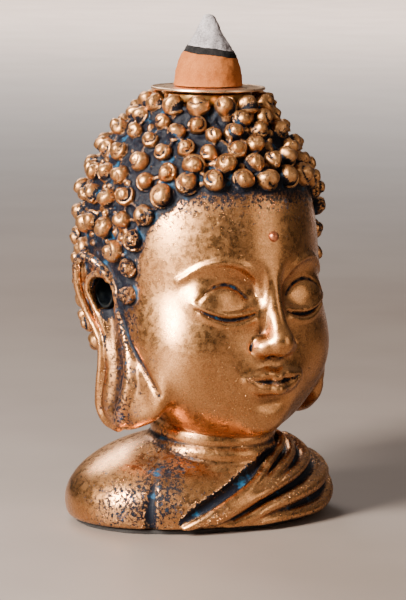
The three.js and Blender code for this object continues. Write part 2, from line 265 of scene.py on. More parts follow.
class Noise:
    """Smooth repeating noise from -1 to 1, the same each run."""

    SIZE = 32

    def __init__(self, seed):
        self.values = np.random.default_rng(seed).uniform(-1, 1, (self.SIZE,) * 3).astype(np.float32)

    def at(self, points, scale):
        p = np.asarray(points, np.float32) / scale
        base = np.floor(p).astype(int)
        f = p - base
        f = f * f * (3 - 2 * f)
        total = 0
        for corner in np.ndindex(2, 2, 2):
            i, j, k = ((base + corner) % self.SIZE).T
            weight = np.prod(np.where(corner, f, 1 - f), axis=1)
            total = total + self.values[i, j, k] * weight
        return total

    def layered(self, points, scale, layers=3):
        """Adds finer and finer noise, each layer half as large and half as strong."""
        total = 0
        for layer in range(layers):
            total = total + self.at(points + 7.3 * layer, scale / 2 ** layer) / 2 ** layer
        return total


CORNERS = np.array([(i, j, k) for k in (0, 1) for j in (0, 1) for i in (0, 1)])
CELL_EDGES = [(a, b) for a in range(8) for b in range(a + 1, 8)
              if abs(CORNERS[a] - CORNERS[b]).sum() == 1]


def crossings(clay, at):
    """Where the surface passes through each cell: the mean of its crossings with the cell's edges."""
    corner = [clay.d[at[:, 0] + i, at[:, 1] + j, at[:, 2] + k] for i, j, k in CORNERS]
    total = np.zeros((len(at), 3))
    hits = np.zeros((len(at), 1))
    for a, b in CELL_EDGES:
        crossing = ((corner[a] < 0) != (corner[b] < 0))[:, None]
        drop = (corner[a] - corner[b])[:, None]
        t = corner[a][:, None] / np.where(crossing, drop, 1)
        total += np.where(crossing, CORNERS[a] + t * (CORNERS[b] - CORNERS[a]), 0)
        hits += crossing
    return total / hits


def faces_across(inside, number, axis):
    """A face for each step along one axis that goes into the material or out of it."""
    u, v = (axis + 1) % 3, (axis + 2) % 3
    near = np.take(inside, range(inside.shape[axis] - 1), axis=axis)
    far = np.take(inside, range(1, inside.shape[axis]), axis=axis)
    edge = np.argwhere(near != far)
    edge = edge[(edge[:, u] > 0) & (edge[:, v] > 0)]
    edge = edge[(edge[:, u] < inside.shape[u] - 1) & (edge[:, v] < inside.shape[v] - 1)]
    back_u, back_v = np.eye(3, dtype=int)[u], np.eye(3, dtype=int)[v]
    around = [edge, edge - back_u, edge - back_u - back_v, edge - back_v]
    quad = np.stack([number[tuple(cell.T)] for cell in around], 1)
    outward = near[tuple(edge.T)]
    return np.where(outward[:, None], quad, quad[:, ::-1])


def skin(clay):
    """The surface of a block of clay as vertices and four-cornered faces, facing out."""
    inside = clay.d < 0
    cells = tuple(n - 1 for n in inside.shape)
    filled = np.zeros(cells, np.uint8)
    for i, j, k in CORNERS:
        filled += inside[i:i + cells[0], j:j + cells[1], k:k + cells[2]]
    active = (filled > 0) & (filled < 8)
    at = np.argwhere(active)
    number = np.full(cells, -1, np.int32)
    number[active] = np.arange(len(at))
    vertices = clay.low + clay.step * (at + crossings(clay, at))
    faces = [faces_across(inside, number, axis) for axis in range(3)]
    return clay.settle(vertices, rounds=3), np.vstack(faces)


# Meshes


def new_piece(name, vertices, faces):
    """A smooth piece from vertices in millimetres and faces of three or four corners."""
    mesh = bpy.data.meshes.new(name)
    vertices = np.asarray(vertices, np.float32) * MM
    mesh.from_pydata(vertices.tolist(), [], [list(map(int, face)) for face in faces])
    smooth(mesh)
    mesh.update()
    piece = bpy.data.objects.new(name, mesh)
    bpy.context.scene.collection.objects.link(piece)
    return piece


def smooth(mesh):
    mesh.polygons.foreach_set("use_smooth", [True] * len(mesh.polygons))


def thin(piece, face_budget):
    """Collapses the mesh to about a number of triangles, keeping the fine detail."""
    triangles = sum(len(face.vertices) - 2 for face in piece.data.polygons)
    modifier = piece.modifiers.new("thin", "DECIMATE")
    modifier.ratio = min(1.0, face_budget / triangles)
    depsgraph = bpy.context.evaluated_depsgraph_get()
    result = bpy.data.meshes.new_from_object(piece.evaluated_get(depsgraph))
    piece.modifiers.clear()
    old = piece.data
    piece.data = result
    result.name = piece.name
    bpy.data.meshes.remove(old)
    smooth(result)


def keep_largest_body(piece):
    """Deletes any crumb that the sculpting left apart from the piece itself."""
    mesh = piece.data
    count = len(mesh.vertices)
    edges = np.empty(len(mesh.edges) * 2, np.int32)
    mesh.edges.foreach_get("vertices", edges)
    edges = edges.reshape(-1, 2)
    label = np.arange(count)
    while True:
        low = np.minimum(label[edges[:, 0]], label[edges[:, 1]])
        before = label.copy()
        np.minimum.at(label, edges[:, 0], low)
        np.minimum.at(label, edges[:, 1], low)
        label = label[label]
        if (label == before).all():
            break
    main = np.bincount(label).argmax()
    loose = np.nonzero(label != main)[0]
    if len(loose):
        bm = bmesh.new()
        bm.from_mesh(mesh)
        bm.verts.ensure_lookup_table()
        bmesh.ops.delete(bm, geom=[bm.verts[i] for i in loose], context="VERTS")
        bm.to_mesh(mesh)
        bm.free()


def point_values(piece, name, values):
    attribute = piece.data.attributes.new(name, "FLOAT", "POINT")
    attribute.data.foreach_set("value", np.asarray(values, np.float32))


def points_mm(piece):
    places = np.empty(len(piece.data.vertices) * 3, np.float32)
    piece.data.vertices.foreach_get("co", places)
    return places.reshape(-1, 3) / MM


def move_points(piece, places):
    """Puts the vertices at places given in millimetres."""
    piece.data.vertices.foreach_set("co", (places * MM).astype(np.float32).ravel())
    piece.data.update()


def cast(name, clay, face_budget, worn, hair_edge=None):
    """Meshes a block of clay and marks how sunk, raised, worn, dark and hairy each place is."""
    vertices, faces = skin(clay)
    piece = new_piece(name, vertices, faces)
    keep_largest_body(piece)
    thin(piece, face_budget)
    places = points_mm(piece)
    fine, broad = 0.45, 1.5
    point_values(piece, "fine", clay.sample(places, clay.blurred(fine)) / fine)
    point_values(piece, "broad", clay.sample(places, clay.blurred(broad)) / broad)
    point_values(piece, "worn", worn(places))
    point_values(piece, "dark", clay.sample(places, clay.dark))
    in_hair = lift = np.zeros(len(places))
    if hair_edge:
        in_hair = np.clip(hair_edge(places) / HAIR_FADE + 0.5, 0, 1)
        lift = clay.sample(places, clay.bare)
    point_values(piece, "hair", in_hair)
    point_values(piece, "lift", lift)
    return piece


def band_faces(bands, rows, segments):
    """Faces between each ring of vertices and the next, where the last ring leads to the first."""
    faces = []
    for row in range(bands):
        below, above = row * segments, (row + 1) % rows * segments
        for i in range(segments):
            j = (i + 1) % segments
            faces.append((below + i, below + j, above + j, above + i))
    return faces


def turned_piece(name, profile, centre, segments=96, stretch_y=1.0):
    """A lathed piece: its profile is [radius, height] in millimetres, and closes on itself."""
    angle = 2 * np.pi * np.arange(segments) / segments
    vertices = []
    for radius, height in profile:
        ring = [centre[0] + radius * np.cos(angle), centre[1] + radius * stretch_y * np.sin(angle)]
        vertices.append(np.stack([*ring, np.full(segments, height)], 1))
    rows = len(profile)
    return new_piece(name, np.vstack(vertices), band_faces(rows, rows, segments))


def rounded(profile, radius=0.15, steps=3):
    """Rounds the corners of a closed profile, so that its edges catch the light."""
    profile = np.array(profile, float)
    softened = []
    for before, corner, after in zip(np.roll(profile, 1, 0), profile, np.roll(profile, -1, 0)):
        to_before, to_after = before - corner, after - corner
        a = corner + to_before * min(radius / np.linalg.norm(to_before), 0.45)
        b = corner + to_after * min(radius / np.linalg.norm(to_after), 0.45)
        for t in np.arange(steps + 1) / steps:
            softened.append((1 - t) ** 2 * a + 2 * t * (1 - t) * corner + t * t * b)
    return softened


# The head

HEAD_CENTRE = np.array([0, 1.8, 65])
SKULL_RADII = (25.4, 28.4, 31.8)
ABOUT_THE_SCALP = 27
CROWN_FLAT = 94.2
CURL_RADIUS = 2.95
CURL_PITCH = 6.1
CURL_LIFT = 0.6
# A curl's groove and its middle dimple, as shares of its radius.
GROOVE_START, GROOVE_WINDS_IN, GROOVE_WIDTH, GROOVE_DEPTH = 0.84, 0.36, 0.135, 0.30
DIMPLE_WIDTH, DIMPLE_DEPTH = 0.13, 0.16
CROWN_CURLS = 14
CROWN_RING_RADIUS = 13.3
CROWN_RING_Z = 94.9
CURL_CEILING = 97.35
CURL_GAP = 4.0
# How far apart two curls with a thread of casting between them are, and how many have one.
THREAD_REACH = 7.4
THREAD_SHARE = 0.45
CRUMB_TRIES = 1500
CRUMBS = 170
# Lower edge of the hair: degrees round from the face, and height.
HAIR_EDGE = np.array([(0, 76.4), (36, 76.3), (50, 74.8), (60, 71.8), (68, 66.6), (72, 59), (74, 50),
                      (77, 47.5), (79, 49), (80.5, 62), (108, 62), (114, 44), (126, 34), (180, 33)])
HAIR_FADE = 4
# Where the row of curls along the front and round the temple goes.
FRONT_ROW = [(0, 80.0), (32, 80.0), (44, 78.8), (54, 76.2), (61, 72.6), (66.4, 67.8), (69.4, 61.8),
             (71.2, 55.8), (72.6, 49.8)]
# The row behind the ear and round the nape.
BACK_ROW = [(113, 62), (117, 55), (121, 46), (127, 38.5), (140, 36.5), (180, 36)]
EDGE_WANDER = Noise(17)
CROWN_Y = float(np.mean(box_mm("crown_ferrule")[:2], 0)[1])
NECK_Y = -4.5
NECK_TILT = 0.09
NECK_TOP = 26
STUB_RADIUS = 9
STUB_TOP = 34
FERRULE_SPIGOT = 6.6


def face_angle(points):
    """Degrees round the head from the face, the same to either side."""
    return np.degrees(np.arctan2(np.abs(points[:, 0]), HEAD_CENTRE[1] - points[:, 1]))


def above_hair_edge(points):
    """Height over the hair's lower edge, which wanders a little."""
    wander = 0.5 * EDGE_WANDER.layered(points, 3.5)
    return points[:, 2] - np.interp(face_angle(points), HAIR_EDGE[:, 0], HAIR_EDGE[:, 1]) + wander


def head_masses(clay):
    """The skull, the face's mask, the cheeks, the jaw and the chin."""
    clay.add(ellipsoid(HEAD_CENTRE, SKULL_RADII))
    clay.add(ellipsoid((0, 5, 49), (21, 23.5, 19)), blend=8)
    clay.add(ellipsoid((0, -3.2, 50), (23.2, 24.0, 30)), blend=6)
    for side in (-1, 1):
        clay.add(ellipsoid((side * 11.2, -11.2, 40), (12.4, 13.8, 13.2)), blend=7)
    clay.add(ellipsoid((0, -12.2, 31), (14.5, 12.6, 11.2)), blend=8)
    clay.add(ellipsoid((0, -21.8, 35.6), (8.6, 5.2, 7)), blend=6)
    clay.add(ellipsoid((0, -22.0, 26.8), (5.2, 3.7, 4.4)), blend=5)


def on_face(clay, side, marks, lift):
    """Turns [x, z, radius] marks into points on the face, lifted off it or sunk into it."""
    path = spline(marks)
    return np.array([(side * x, clay.front(side * x, z) - lift, z, radius) for x, z, radius in path])


def eyes(clay):
    """Lowered lids under arched brows, on the textbook spacing of five eye widths."""
    brow = [(2.6, 54.4, 0.5), (3.6, 57.6, 0.62), (7, 60.6, 0.66), (11.4, 61.7, 0.62),
            (15.8, 60.4, 0.5), (19.4, 57.2, 0.3)]
    crease = [(5.4, 53.4, 0.22), (7.8, 55.6, 0.34), (11, 56.6, 0.36), (14.4, 55.6, 0.32),
              (17.2, 53, 0.2)]
    lid = [(4.4, 50.8, 0.3), (7, 50.2, 0.46), (10.6, 50.0, 0.5), (14, 50.7, 0.46), (17.6, 52.4, 0.26)]
    lower = [(5.2, 48.6, 0.22), (8, 47.8, 0.36), (11, 47.7, 0.38), (14.2, 48.7, 0.32),
             (16.6, 50.3, 0.2)]
    slit = [(4.3, 50.0, 0.2), (7.2, 49.2, 0.34), (10.8, 48.9, 0.38), (14, 49.7, 0.34),
            (17.6, 51.5, 0.18)]
    strokes = ((brow, 0.1, 1.0, False), (crease, 0.02, 0.6, True), (lid, 0.08, 0.6, False),
               (lower, 0.0, 0.8, False), (slit, -0.02, 0.3, True))
    for side in (-1, 1):
        clay.cut(ellipsoid((side * 10.6, -27.8, 55.2), (8.4, 4.6, 4.4)), blend=4)
        clay.add(ellipsoid((side * 10.6, -18.9, 52.4), (7.6, 6.0, 5.6)), blend=2.2)
    for side in (-1, 1):
        for marks, lift, blend, cut in strokes:
            clay.stroke(on_face(clay, side, marks, lift), blend, cut)


def nose(clay):
    """A straight bridge, a soft tip, and two wings with shallow nostrils under them."""
    bridge = [(0, -26.3, 58.5, 1.3), (0, -27.0, 54, 1.6), (0, -28.3, 49, 2.0), (0, -29.8, 44.8, 2.5)]
    clay.stroke(spline(bridge), 2.4)
    clay.add(ellipsoid((0, -29.8, 43.3), (3.1, 3.1, 2.7)), blend=2.0)
    for side in (-1, 1):
        clay.add(ellipsoid((side * 3.3, -27.6, 42.6), (2.2, 2.9, 2.1)), blend=1.5)
        wing = [(side * 5.4, -27.3, 44.0, 0.1), (side * 5.8, -26.8, 42.4, 0.26),
                (side * 5.2, -27.0, 40.6, 0.1)]
        clay.stroke(spline(wing), 0.7, cut=True)
        clay.cut(ellipsoid((side * 1.8, -29.4, 40.2), (0.8, 1.3, 0.6)), blend=0.7)


def mouth(clay):
    """A small calm mouth: full soft lips that meet in one smooth line."""
    upper = [(0, 35.9, 0.8), (2.0, 36.6, 1.1), (4.6, 36.2, 0.95), (7.4, 35.9, 0.35)]
    lower = [(0, 33.0, 1.5), (2.8, 33.1, 1.45), (5.2, 34.0, 1.0), (7.2, 35.2, 0.3)]
    for lip, lift, blend in ((upper, 0.2, 1.3), (lower, 0.0, 1.4)):
        for side in (-1, 1):
            clay.stroke(on_face(clay, side, lip, lift), blend)
    line = []
    for x in np.linspace(-7.2, 7.2, 25):
        z = 34.75 + 0.02 * x * x
        line.append((x, clay.front(x, z), z, 0.36 - 0.03 * abs(x)))
    clay.stroke(line, 0.4, cut=True, dark=0.1)
    clay.cut(ellipsoid((0, -28.6, 29.9), (4.4, 2.0, 1.2)), blend=2.8)


def ear_point(forward, z, out=0.0):
    """A place on the ear's plane: millimetres forward of its back rim, height, and outward."""
    lean_in = np.interp(z, [34, 50], [0.12, 0.35])
    x = 29.2 - lean_in * forward - 0.07 * (56 - z) + 0.94 * out
    y = 8.6 - 0.937 * forward - 0.35 * out
    return x, y, z


def ear(clay, side):
    """One ear in relief: its rims, the hollows between them, and the long lobe that joins the jaw."""

    def path(marks):
        places = [(*ear_point(*mark[:3]), mark[3]) for mark in spline(marks)]
        return np.array(places) * (side, 1, 1, 1)

    def hugging(marks, lift):
        """A path that keeps to the surface, whatever the ear's own plane does."""
        line = path(marks)
        line[:, :3] = clay.settle(line[:, :3], lift)
        return line

    body = [(6.4, 57, -2.6, 2.6), (6.2, 51, -2.8, 3.4), (8.6, 45, -3.2, 3.4), (10.6, 40, -3.4, 3.4)]
    clay.stroke(path(body), 2.0)
    clay.add(ellipsoid((side * 23.6, -2.2, 33), (2.8, 7.4, 9.4), lean=-side * 4), blend=2.5)
    clay.add(ellipsoid((side * 23.4, -3.6, 27.8), (2.7, 7.4, 5.4)), blend=2)
    clay.add(ellipsoid((side * 21.2, -9.0, 32.4), (3.2, 8.0, 7.8), lean=-side * 8), blend=3.0)
    scapha = [(8.6, 57.4, 0.5, 0.6), (5, 58.0, 0.5, 1.0), (2.9, 56.4, 0.5, 1.2), (2.6, 52.6, 0.5, 1.2),
              (4.5, 48.4, 0.5, 1.05), (6.6, 44.6, 0.5, 0.8), (8.0, 41, 0.6, 0.3)]
    clay.stroke(path(scapha), 0.6, cut=True, dark=0.9)
    clay.cut(ellipsoid((side * 28.6, 2.0, 52.6), (5.0, 3.1, 4.3)), blend=0.9)
    clay.stain((side * 26.6, 0.6, 52.0), (4.2, 5.2, 5.6))
    channel = [(8.4, 51, 0.4, 1.6), (9.8, 47, 0.8, 1.9), (11.0, 42, 1.2, 2.3), (12.2, 37, 1.6, 2.7),
               (12.3, 32, 1.8, 2.7), (11.4, 28.4, 2.2, 2.2)]
    clay.stroke(path(channel), 1.2, cut=True)
    crease = [(13.2, 48, 0, 0.5), (14.6, 45.4, 0, 0.6), (16.4, 42.6, 0, 0.6), (19.5, 39.7, 0, 0.55),
              (23.2, 36.2, 0, 0.5), (27.4, 31.6, 0, 0.4)]
    clay.stroke(hugging(crease, 0.15), 1.0, cut=True, dark=0.1)
    foot = [(14.6, 37.5, 0, 0.5), (15.0, 34, 0, 0.8), (13.9, 30.6, 0, 0.7)]
    clay.stroke(hugging(foot, 0.2), 0.8, cut=True, dark=0.5)
    helix = [(12.4, 48.5, -0.5, 0.7), (11.0, 52.5, -0.1, 0.85), (8.4, 57.6, 0.1, 0.95),
             (5, 60.3, 0.1, 1.05), (2.2, 60.6, 0.1, 1.1), (0.7, 58.2, 0.1, 1.1), (1.0, 53, 0.1, 1.0),
             (3.0, 48, 0.0, 0.9), (5.4, 44.4, -0.1, 0.85), (7.0, 41, -0.2, 0.85),
             (7.2, 36, -0.3, 0.85), (6.4, 31, -0.4, 0.95), (5.8, 26.8, -0.8, 1.0),
             (7.8, 23.8, -1.3, 1.2), (11.5, 22.8, -1.6, 1.3)]
    clay.stroke(path(helix), 0.8)
    inner = [(8.9, 56.6, -0.2, 0.5), (7.2, 57.0, 0.0, 0.7), (5.2, 56.8, 0.0, 0.75),
             (3.6, 55.4, 0.0, 0.75), (3.4, 53.0, 0.0, 0.75), (4.6, 50.4, 0.0, 0.75),
             (6.4, 47.2, -0.1, 0.75), (8.2, 44, -0.5, 0.55)]
    clay.stroke(path(inner), 0.5)
    ridge = [(11.6, 49.4, 0, 0.7), (12.8, 45.6, 0, 0.9), (15.6, 41.2, 0, 1.1), (17.5, 37.2, 0, 1.4),
             (18.0, 33.2, 0, 1.5), (16.6, 28.6, 0, 1.5), (14.4, 25.0, 0, 1.4)]
    clay.stroke(hugging(ridge, -0.15), 1.4)


def row_of_curls(clay, marks):
    """Curls along a row of [degrees round from the face, height] marks, a pitch apart."""
    places = []
    for degrees, z in spline(marks, per_span=60):
        turn = math.radians(degrees)
        guess = HEAD_CENTRE + (ABOUT_THE_SCALP * math.sin(turn), -ABOUT_THE_SCALP * math.cos(turn),
                               z - HEAD_CENTRE[2])
        place = clay.settle([guess], CURL_LIFT)[0]
        if not places or np.linalg.norm(place - places[-1]) >= CURL_PITCH:
            places.append(place)
    return places


def fixed_curls(clay):
    """The ring round the crown, then the rows by the hairline and the same ones on the left."""
    turn = 2 * np.pi * (np.arange(CROWN_CURLS) + 0.3) / CROWN_CURLS
    crown = np.stack([CROWN_RING_RADIUS * np.sin(turn), CROWN_Y - CROWN_RING_RADIUS * np.cos(turn),
                      np.full(CROWN_CURLS, CROWN_RING_Z)], 1)
    half = np.array(row_of_curls(clay, FRONT_ROW) + row_of_curls(clay, BACK_ROW))
    mirrored = half[half[:, 0] > 1] * (-1, 1, 1)
    return np.vstack([crown, half, mirrored])


def scattered_curls(random):
    """Rings of curls from the crown down, each one a little off its even place."""
    places = []
    for polar in np.arange(math.radians(31.5), math.radians(135), math.radians(10.4)):
        height = HEAD_CENTRE[2] + SKULL_RADII[2] * math.cos(polar)
        reach = ABOUT_THE_SCALP * math.sin(polar)
        count = int(2 * np.pi * reach / 6.0)
        for i in range(count):
            turn = 2 * np.pi * (i + random.uniform(0.3, 0.7)) / count
            places.append((reach * math.sin(turn), HEAD_CENTRE[1] - reach * math.cos(turn), height))
    return places


def push_apart(clay, free, fixed):
    """Moves the free curls little by little until all lie evenly, closer together by the crown."""
    for _ in range(50):
        pitch = 5.9 - 1.4 * np.clip((free[:, 2] - 80) / 11, 0, 1)
        everyone = np.vstack([free, fixed])
        away = free[:, None] - everyone[None]
        gap = np.linalg.norm(away, axis=2) + TINY
        push = np.clip(pitch[:, None] - gap, 0, None) * (gap > 1e-3)
        free = free + (away / gap[..., None] * push[..., None]).sum(1) * 0.35
        free = clay.settle(free, CURL_LIFT, rounds=2)
    return free


def curl_places(clay):
    """Where the curls are: the crown's and the fixed rows first, then the rest spread evenly."""
    fixed = fixed_curls(clay)
    free = clay.settle(scattered_curls(np.random.default_rng(SEED)), CURL_LIFT)
    free = push_apart(clay, free[above_hair_edge(free) > 3], fixed)
    keep = above_hair_edge(free) > 2.4
    keep &= np.hypot(free[:, 0], free[:, 1] - CROWN_Y) > CROWN_RING_RADIUS + 0.9
    for i, place in enumerate(free):
        others = np.vstack([free[:i][keep[:i]], fixed])
        if keep[i] and np.linalg.norm(others - place, axis=1).min() < CURL_GAP:
            keep[i] = False
    return np.vstack([fixed, free[keep]])


def curl(clay, centre, normal, radius, random):
    """One snail-shell curl: a bead with a groove that winds in from its edge towards the middle."""
    normal = normal + random.uniform(-0.2, 0.2, 3)
    normal /= np.linalg.norm(normal)
    first = np.cross(normal, (0.3, 0.1, 1))
    first /= np.linalg.norm(first)
    second = np.cross(normal, first)
    start = random.uniform(0, 1)
    hand = random.choice([-1, 1])
    squash = random.uniform(0.82, 0.96)
    part, x, y, z = clay.block(centre - radius - 1.6, centre + radius + 1.6)
    dx, dy, dz = x - centre[0], y - centre[1], z - centre[2]
    height = dx * normal[0] + dy * normal[1] + dz * normal[2]
    a = dx * first[0] + dy * first[1] + dz * first[2]
    b = dx * second[0] + dy * second[1] + dz * second[2]
    out = np.sqrt(a * a + b * b)
    turn = (np.arctan2(b, a) * hand / (2 * np.pi) + start) % 1
    bead = np.sqrt(out ** 2 + (height / squash) ** 2) - radius
    line = radius * (GROOVE_START - GROOVE_WINDS_IN * turn)
    fade = np.clip(np.minimum(turn / 0.12, (1 - turn) / 0.15), 0, 1) * (height > -0.3 * radius)
    groove = np.exp(-((out - line) / (GROOVE_WIDTH * radius)) ** 2) * fade
    step_down = np.clip((out - line) / (0.2 * radius), 0, 1) * fade
    dimple = np.exp(-(out / (DIMPLE_WIDTH * radius)) ** 2) * (height > 0) * random.uniform(0, 1)
    bead = bead + radius * (GROOVE_DEPTH * groove + 0.06 * step_down + DIMPLE_DEPTH * dimple)
    clay.d[part] = smooth_min(clay.d[part], bead, 0.3)
    inked = np.clip(1.6 * groove - 0.5, 0, 1) * random.uniform(0.5, 1.0) + 0.5 * dimple
    clay.dark[part] = np.where(bead < 0.6, np.maximum(clay.dark[part], inked), clay.dark[part])


def rough_scalp(clay):
    """Raises uneven lumps inland of the hair's edge, and keeps the scalp as it is before the curls."""
    near = np.argwhere(np.abs(clay.d) < 1.4)
    places = clay.low + clay.step * near
    inland = np.clip(above_hair_edge(places) / 1.2, 0, 1)
    lump = 0.3 + 0.4 * Noise(3).layered(places, 1.5)
    clay.d[tuple(near.T)] -= (inland * lump).astype(np.float32)
    clay.bare = clay.d.copy()


def threads(clay, centres, random):
    """Thin threads of casting that sag between some of the neighbouring curls."""
    gaps = np.linalg.norm(centres[:, None] - centres[None], axis=2)
    for i in range(len(centres)):
        for j in np.nonzero((gaps[i] < THREAD_REACH) & (np.arange(len(centres)) > i))[0]:
            if random.uniform() < THREAD_SHARE:
                middle = (centres[i] + centres[j]) / 2 + random.uniform(-0.9, 0.9, 3)
                path = spline([(*centres[i], 0.6), (*middle, 0.36), (*centres[j], 0.6)], 4)
                path[:, :3] = clay.settle(path[:, :3], 0.2)
                clay.stroke(path, 0.4)


def hair(clay):
    """The rough scalp, the threads, the curls and the crumbs of casting between them."""
    random = np.random.default_rng(SEED)
    rough_scalp(clay)
    centres = curl_places(clay)
    slope, steepness = clay.slope(centres)
    normals = slope / steepness
    centres = centres + normals * 0.3
    threads(clay, centres, random)
    for i, (centre, normal) in enumerate(zip(centres, normals)):
        by_edge = np.exp(-((above_hair_edge(centre[None])[0] - 3.5) / 3) ** 2)
        size = 0.83 + 0.17 * by_edge - 0.05 * np.clip((centre[2] - 80) / 10, 0, 1)
        if i < CROWN_CURLS:
            size = 0.92
            clay.stroke([(*centre, 1.2), (*(centre - (0, 0, 3)), 1.4)], 0.4)
        curl(clay, centre, normal, CURL_RADIUS * random.uniform(0.9, 1.06) * size, random)
    crumbs(clay, centres, random)
    clay.cut(rod((0, CROWN_Y), CROWN_RING_RADIUS + 1, CURL_CEILING, CURL_CEILING + 5), blend=0.4)


def crumbs(clay, centres, random):
    """Small uneven lumps of casting where the scalp shows between the curls."""
    turn, rise = random.uniform(0, 2 * np.pi, CRUMB_TRIES), random.uniform(-0.6, 0.95, CRUMB_TRIES)
    ring = np.sqrt(1 - rise ** 2)
    spots = HEAD_CENTRE + 26 * np.stack([ring * np.sin(turn), -ring * np.cos(turn), 1.15 * rise], 1)
    spots = clay.settle(spots, 0.1)
    gap = np.linalg.norm(spots[:, None] - centres[None], axis=2).min(1)
    good = (gap > 3.0) & (above_hair_edge(spots) > 1.2) & (spots[:, 2] < CROWN_FLAT)
    for spot in spots[good][:CRUMBS]:
        size = random.uniform(0.45, 1.0)
        clay.add(ellipsoid(spot, size * random.uniform(0.7, 1.3, 3)), blend=0.35)


def neck_radius(height):
    """The neck's radius at a height: three soft ring folds that widen to the chest."""
    rings = [(8, 17.0), (13.4, 16.3), (14.4, 16.0), (14.9, 15.5), (15.5, 15.7), (16.1, 15.1),
             (16.9, 14.9), (18.2, 15.1), (19.2, 14.7), (19.8, 14.1), (21.0, 14.4), (22.6, 14.1),
             (23.6, 13.2), (30, 12.9)]
    heights, radii = np.array(rings).T
    return np.interp(height, heights, radii)


def neck_form(grow, top):
    """The neck as a shape, with its rings tilted a little and its sides grown outward."""
    heights = np.arange(5, 40, 0.25)
    radii = np.convolve(neck_radius(heights), np.ones(3) / 3, mode="same")

    def distance(x, y, z):
        level = z - NECK_TILT * (y - NECK_Y)
        side = np.sqrt(x ** 2 + (y - NECK_Y) ** 2) - np.interp(level, heights, radii) - grow
        return np.maximum(side, np.maximum(8 - z, z - top))

    reach = 19 + grow
    return distance, np.array([-reach, NECK_Y - reach, 8]), np.array([reach, NECK_Y + reach, top])


def hollow_out_head(clay):
    """The smoke passage, the ferrule's seat and the socket for the neck."""
    ear_low, ear_high, ear_radius = box_mm("ear_port_right", 2)
    ear_y, ear_z = (ear_low[1] + ear_high[1]) / 2, (ear_low[2] + ear_high[2]) / 2
    tube_low, _, tube_radius = box_mm("smoke_tube")
    ferrule_low, _, ferrule_radius = box_mm("crown_ferrule")
    crown = (0, CROWN_Y)
    clay.cut(rod(crown, ferrule_radius + 0.15, CROWN_FLAT, CROWN_FLAT + 8))
    clay.cut(rod(crown, FERRULE_SPIGOT + CLEARANCE, ferrule_low[2] - CLEARANCE, CROWN_FLAT + 1))
    clay.cut(rod(crown, tube_radius + CLEARANCE, tube_low[2], CROWN_FLAT))
    clay.cut(rod((0, ear_y - 1.7), 8, ear_z - 7, ear_z + 10))
    clay.cut(rod((ear_y, ear_z), ear_radius + CLEARANCE, -26.5, 26.5, along=0))
    clay.cut(neck_form(CLEARANCE, NECK_TOP + CLEARANCE))
    clay.cut(rod((0, NECK_Y), STUB_RADIUS + CLEARANCE, NECK_TOP, STUB_TOP + CLEARANCE))


def head_clay():
    low, high, _ = box_mm("head_casting")
    reach = max(abs(low[0]), high[0]) + MARGIN
    clay = Clay((-reach, low[1] - MARGIN, low[2] - MARGIN),
                (reach, high[1] + MARGIN, CROWN_FLAT + 4), VOXEL)
    head_masses(clay)
    eyes(clay)
    nose(clay)
    mouth(clay)
    clay.add(rod((0, CROWN_Y), 12.8, 86, CROWN_FLAT), blend=3)
    clay.cut(rod((0, CROWN_Y), 12.2, CROWN_FLAT, CROWN_FLAT + 8), blend=1.5)
    hair(clay)
    for side in (-1, 1):
        ear(clay, side)
    hollow_out_head(clay)
    return clay


def head_worn(places):
    """The rubbed paint is thin along the hairline, round the ears and under the jaw."""
    below_edge = -above_hair_edge(places)
    hairline = 1.5 * np.exp(-np.clip(below_edge, 0, None) / 3.5) * (below_edge > -1)
    temple = np.exp(-((face_angle(places) - 74) / 9) ** 2) * np.clip((66 - places[:, 2]) / 10, 0, 1)
    ear_side = 0.25 * np.clip((np.abs(places[:, 0]) - 22) / 3, 0, 1)
    return np.clip(hairline + 0.6 * temple + ear_side + 0.1, 0, 1)


# The bust

TORSO_CENTRE = np.array([-0.5, 1, 5])
TORSO_RADII = np.array([32.5, 24, 15.5])


def on_torso(clay, marks, lift):
    """A path over the torso from [x, y, z, radius] marks, at a height above its surface."""
    path = spline(marks)
    path[:, :3] = clay.settle(path[:, :3], lift)
    return path


# The robe's hem from the left of the neck to the right front, and the bare gap inside it.
HEM = [(14.2, -6, 19.5, 1.1), (12.6, -11.5, 17.4, 1.1), (10, -14.8, 16, 1.1),
       (2.5, -20.3, 12.6, 1.1), (-2.2, -22.1, 10.1, 1.1), (-8, -22.5, 7.1, 1.1),
       (-13.5, -21.3, 3.9, 1.1), (-17.5, -19.2, 1.5, 1.0)]
NECKLINE_GAP = [(14.4, -4, 21, 1.3), (12.8, -9, 19.6, 1.4), (10.4, -13, 17.8, 1.5),
                (7.6, -15.6, 16.2, 1.6), (1.2, -19.6, 13.5, 1.7), (-3.7, -21.3, 11.3, 1.8),
                (-9, -21.9, 8.7, 1.8), (-14.2, -21, 5.8, 1.6), (-18.1, -19.4, 3.3, 0.9)]
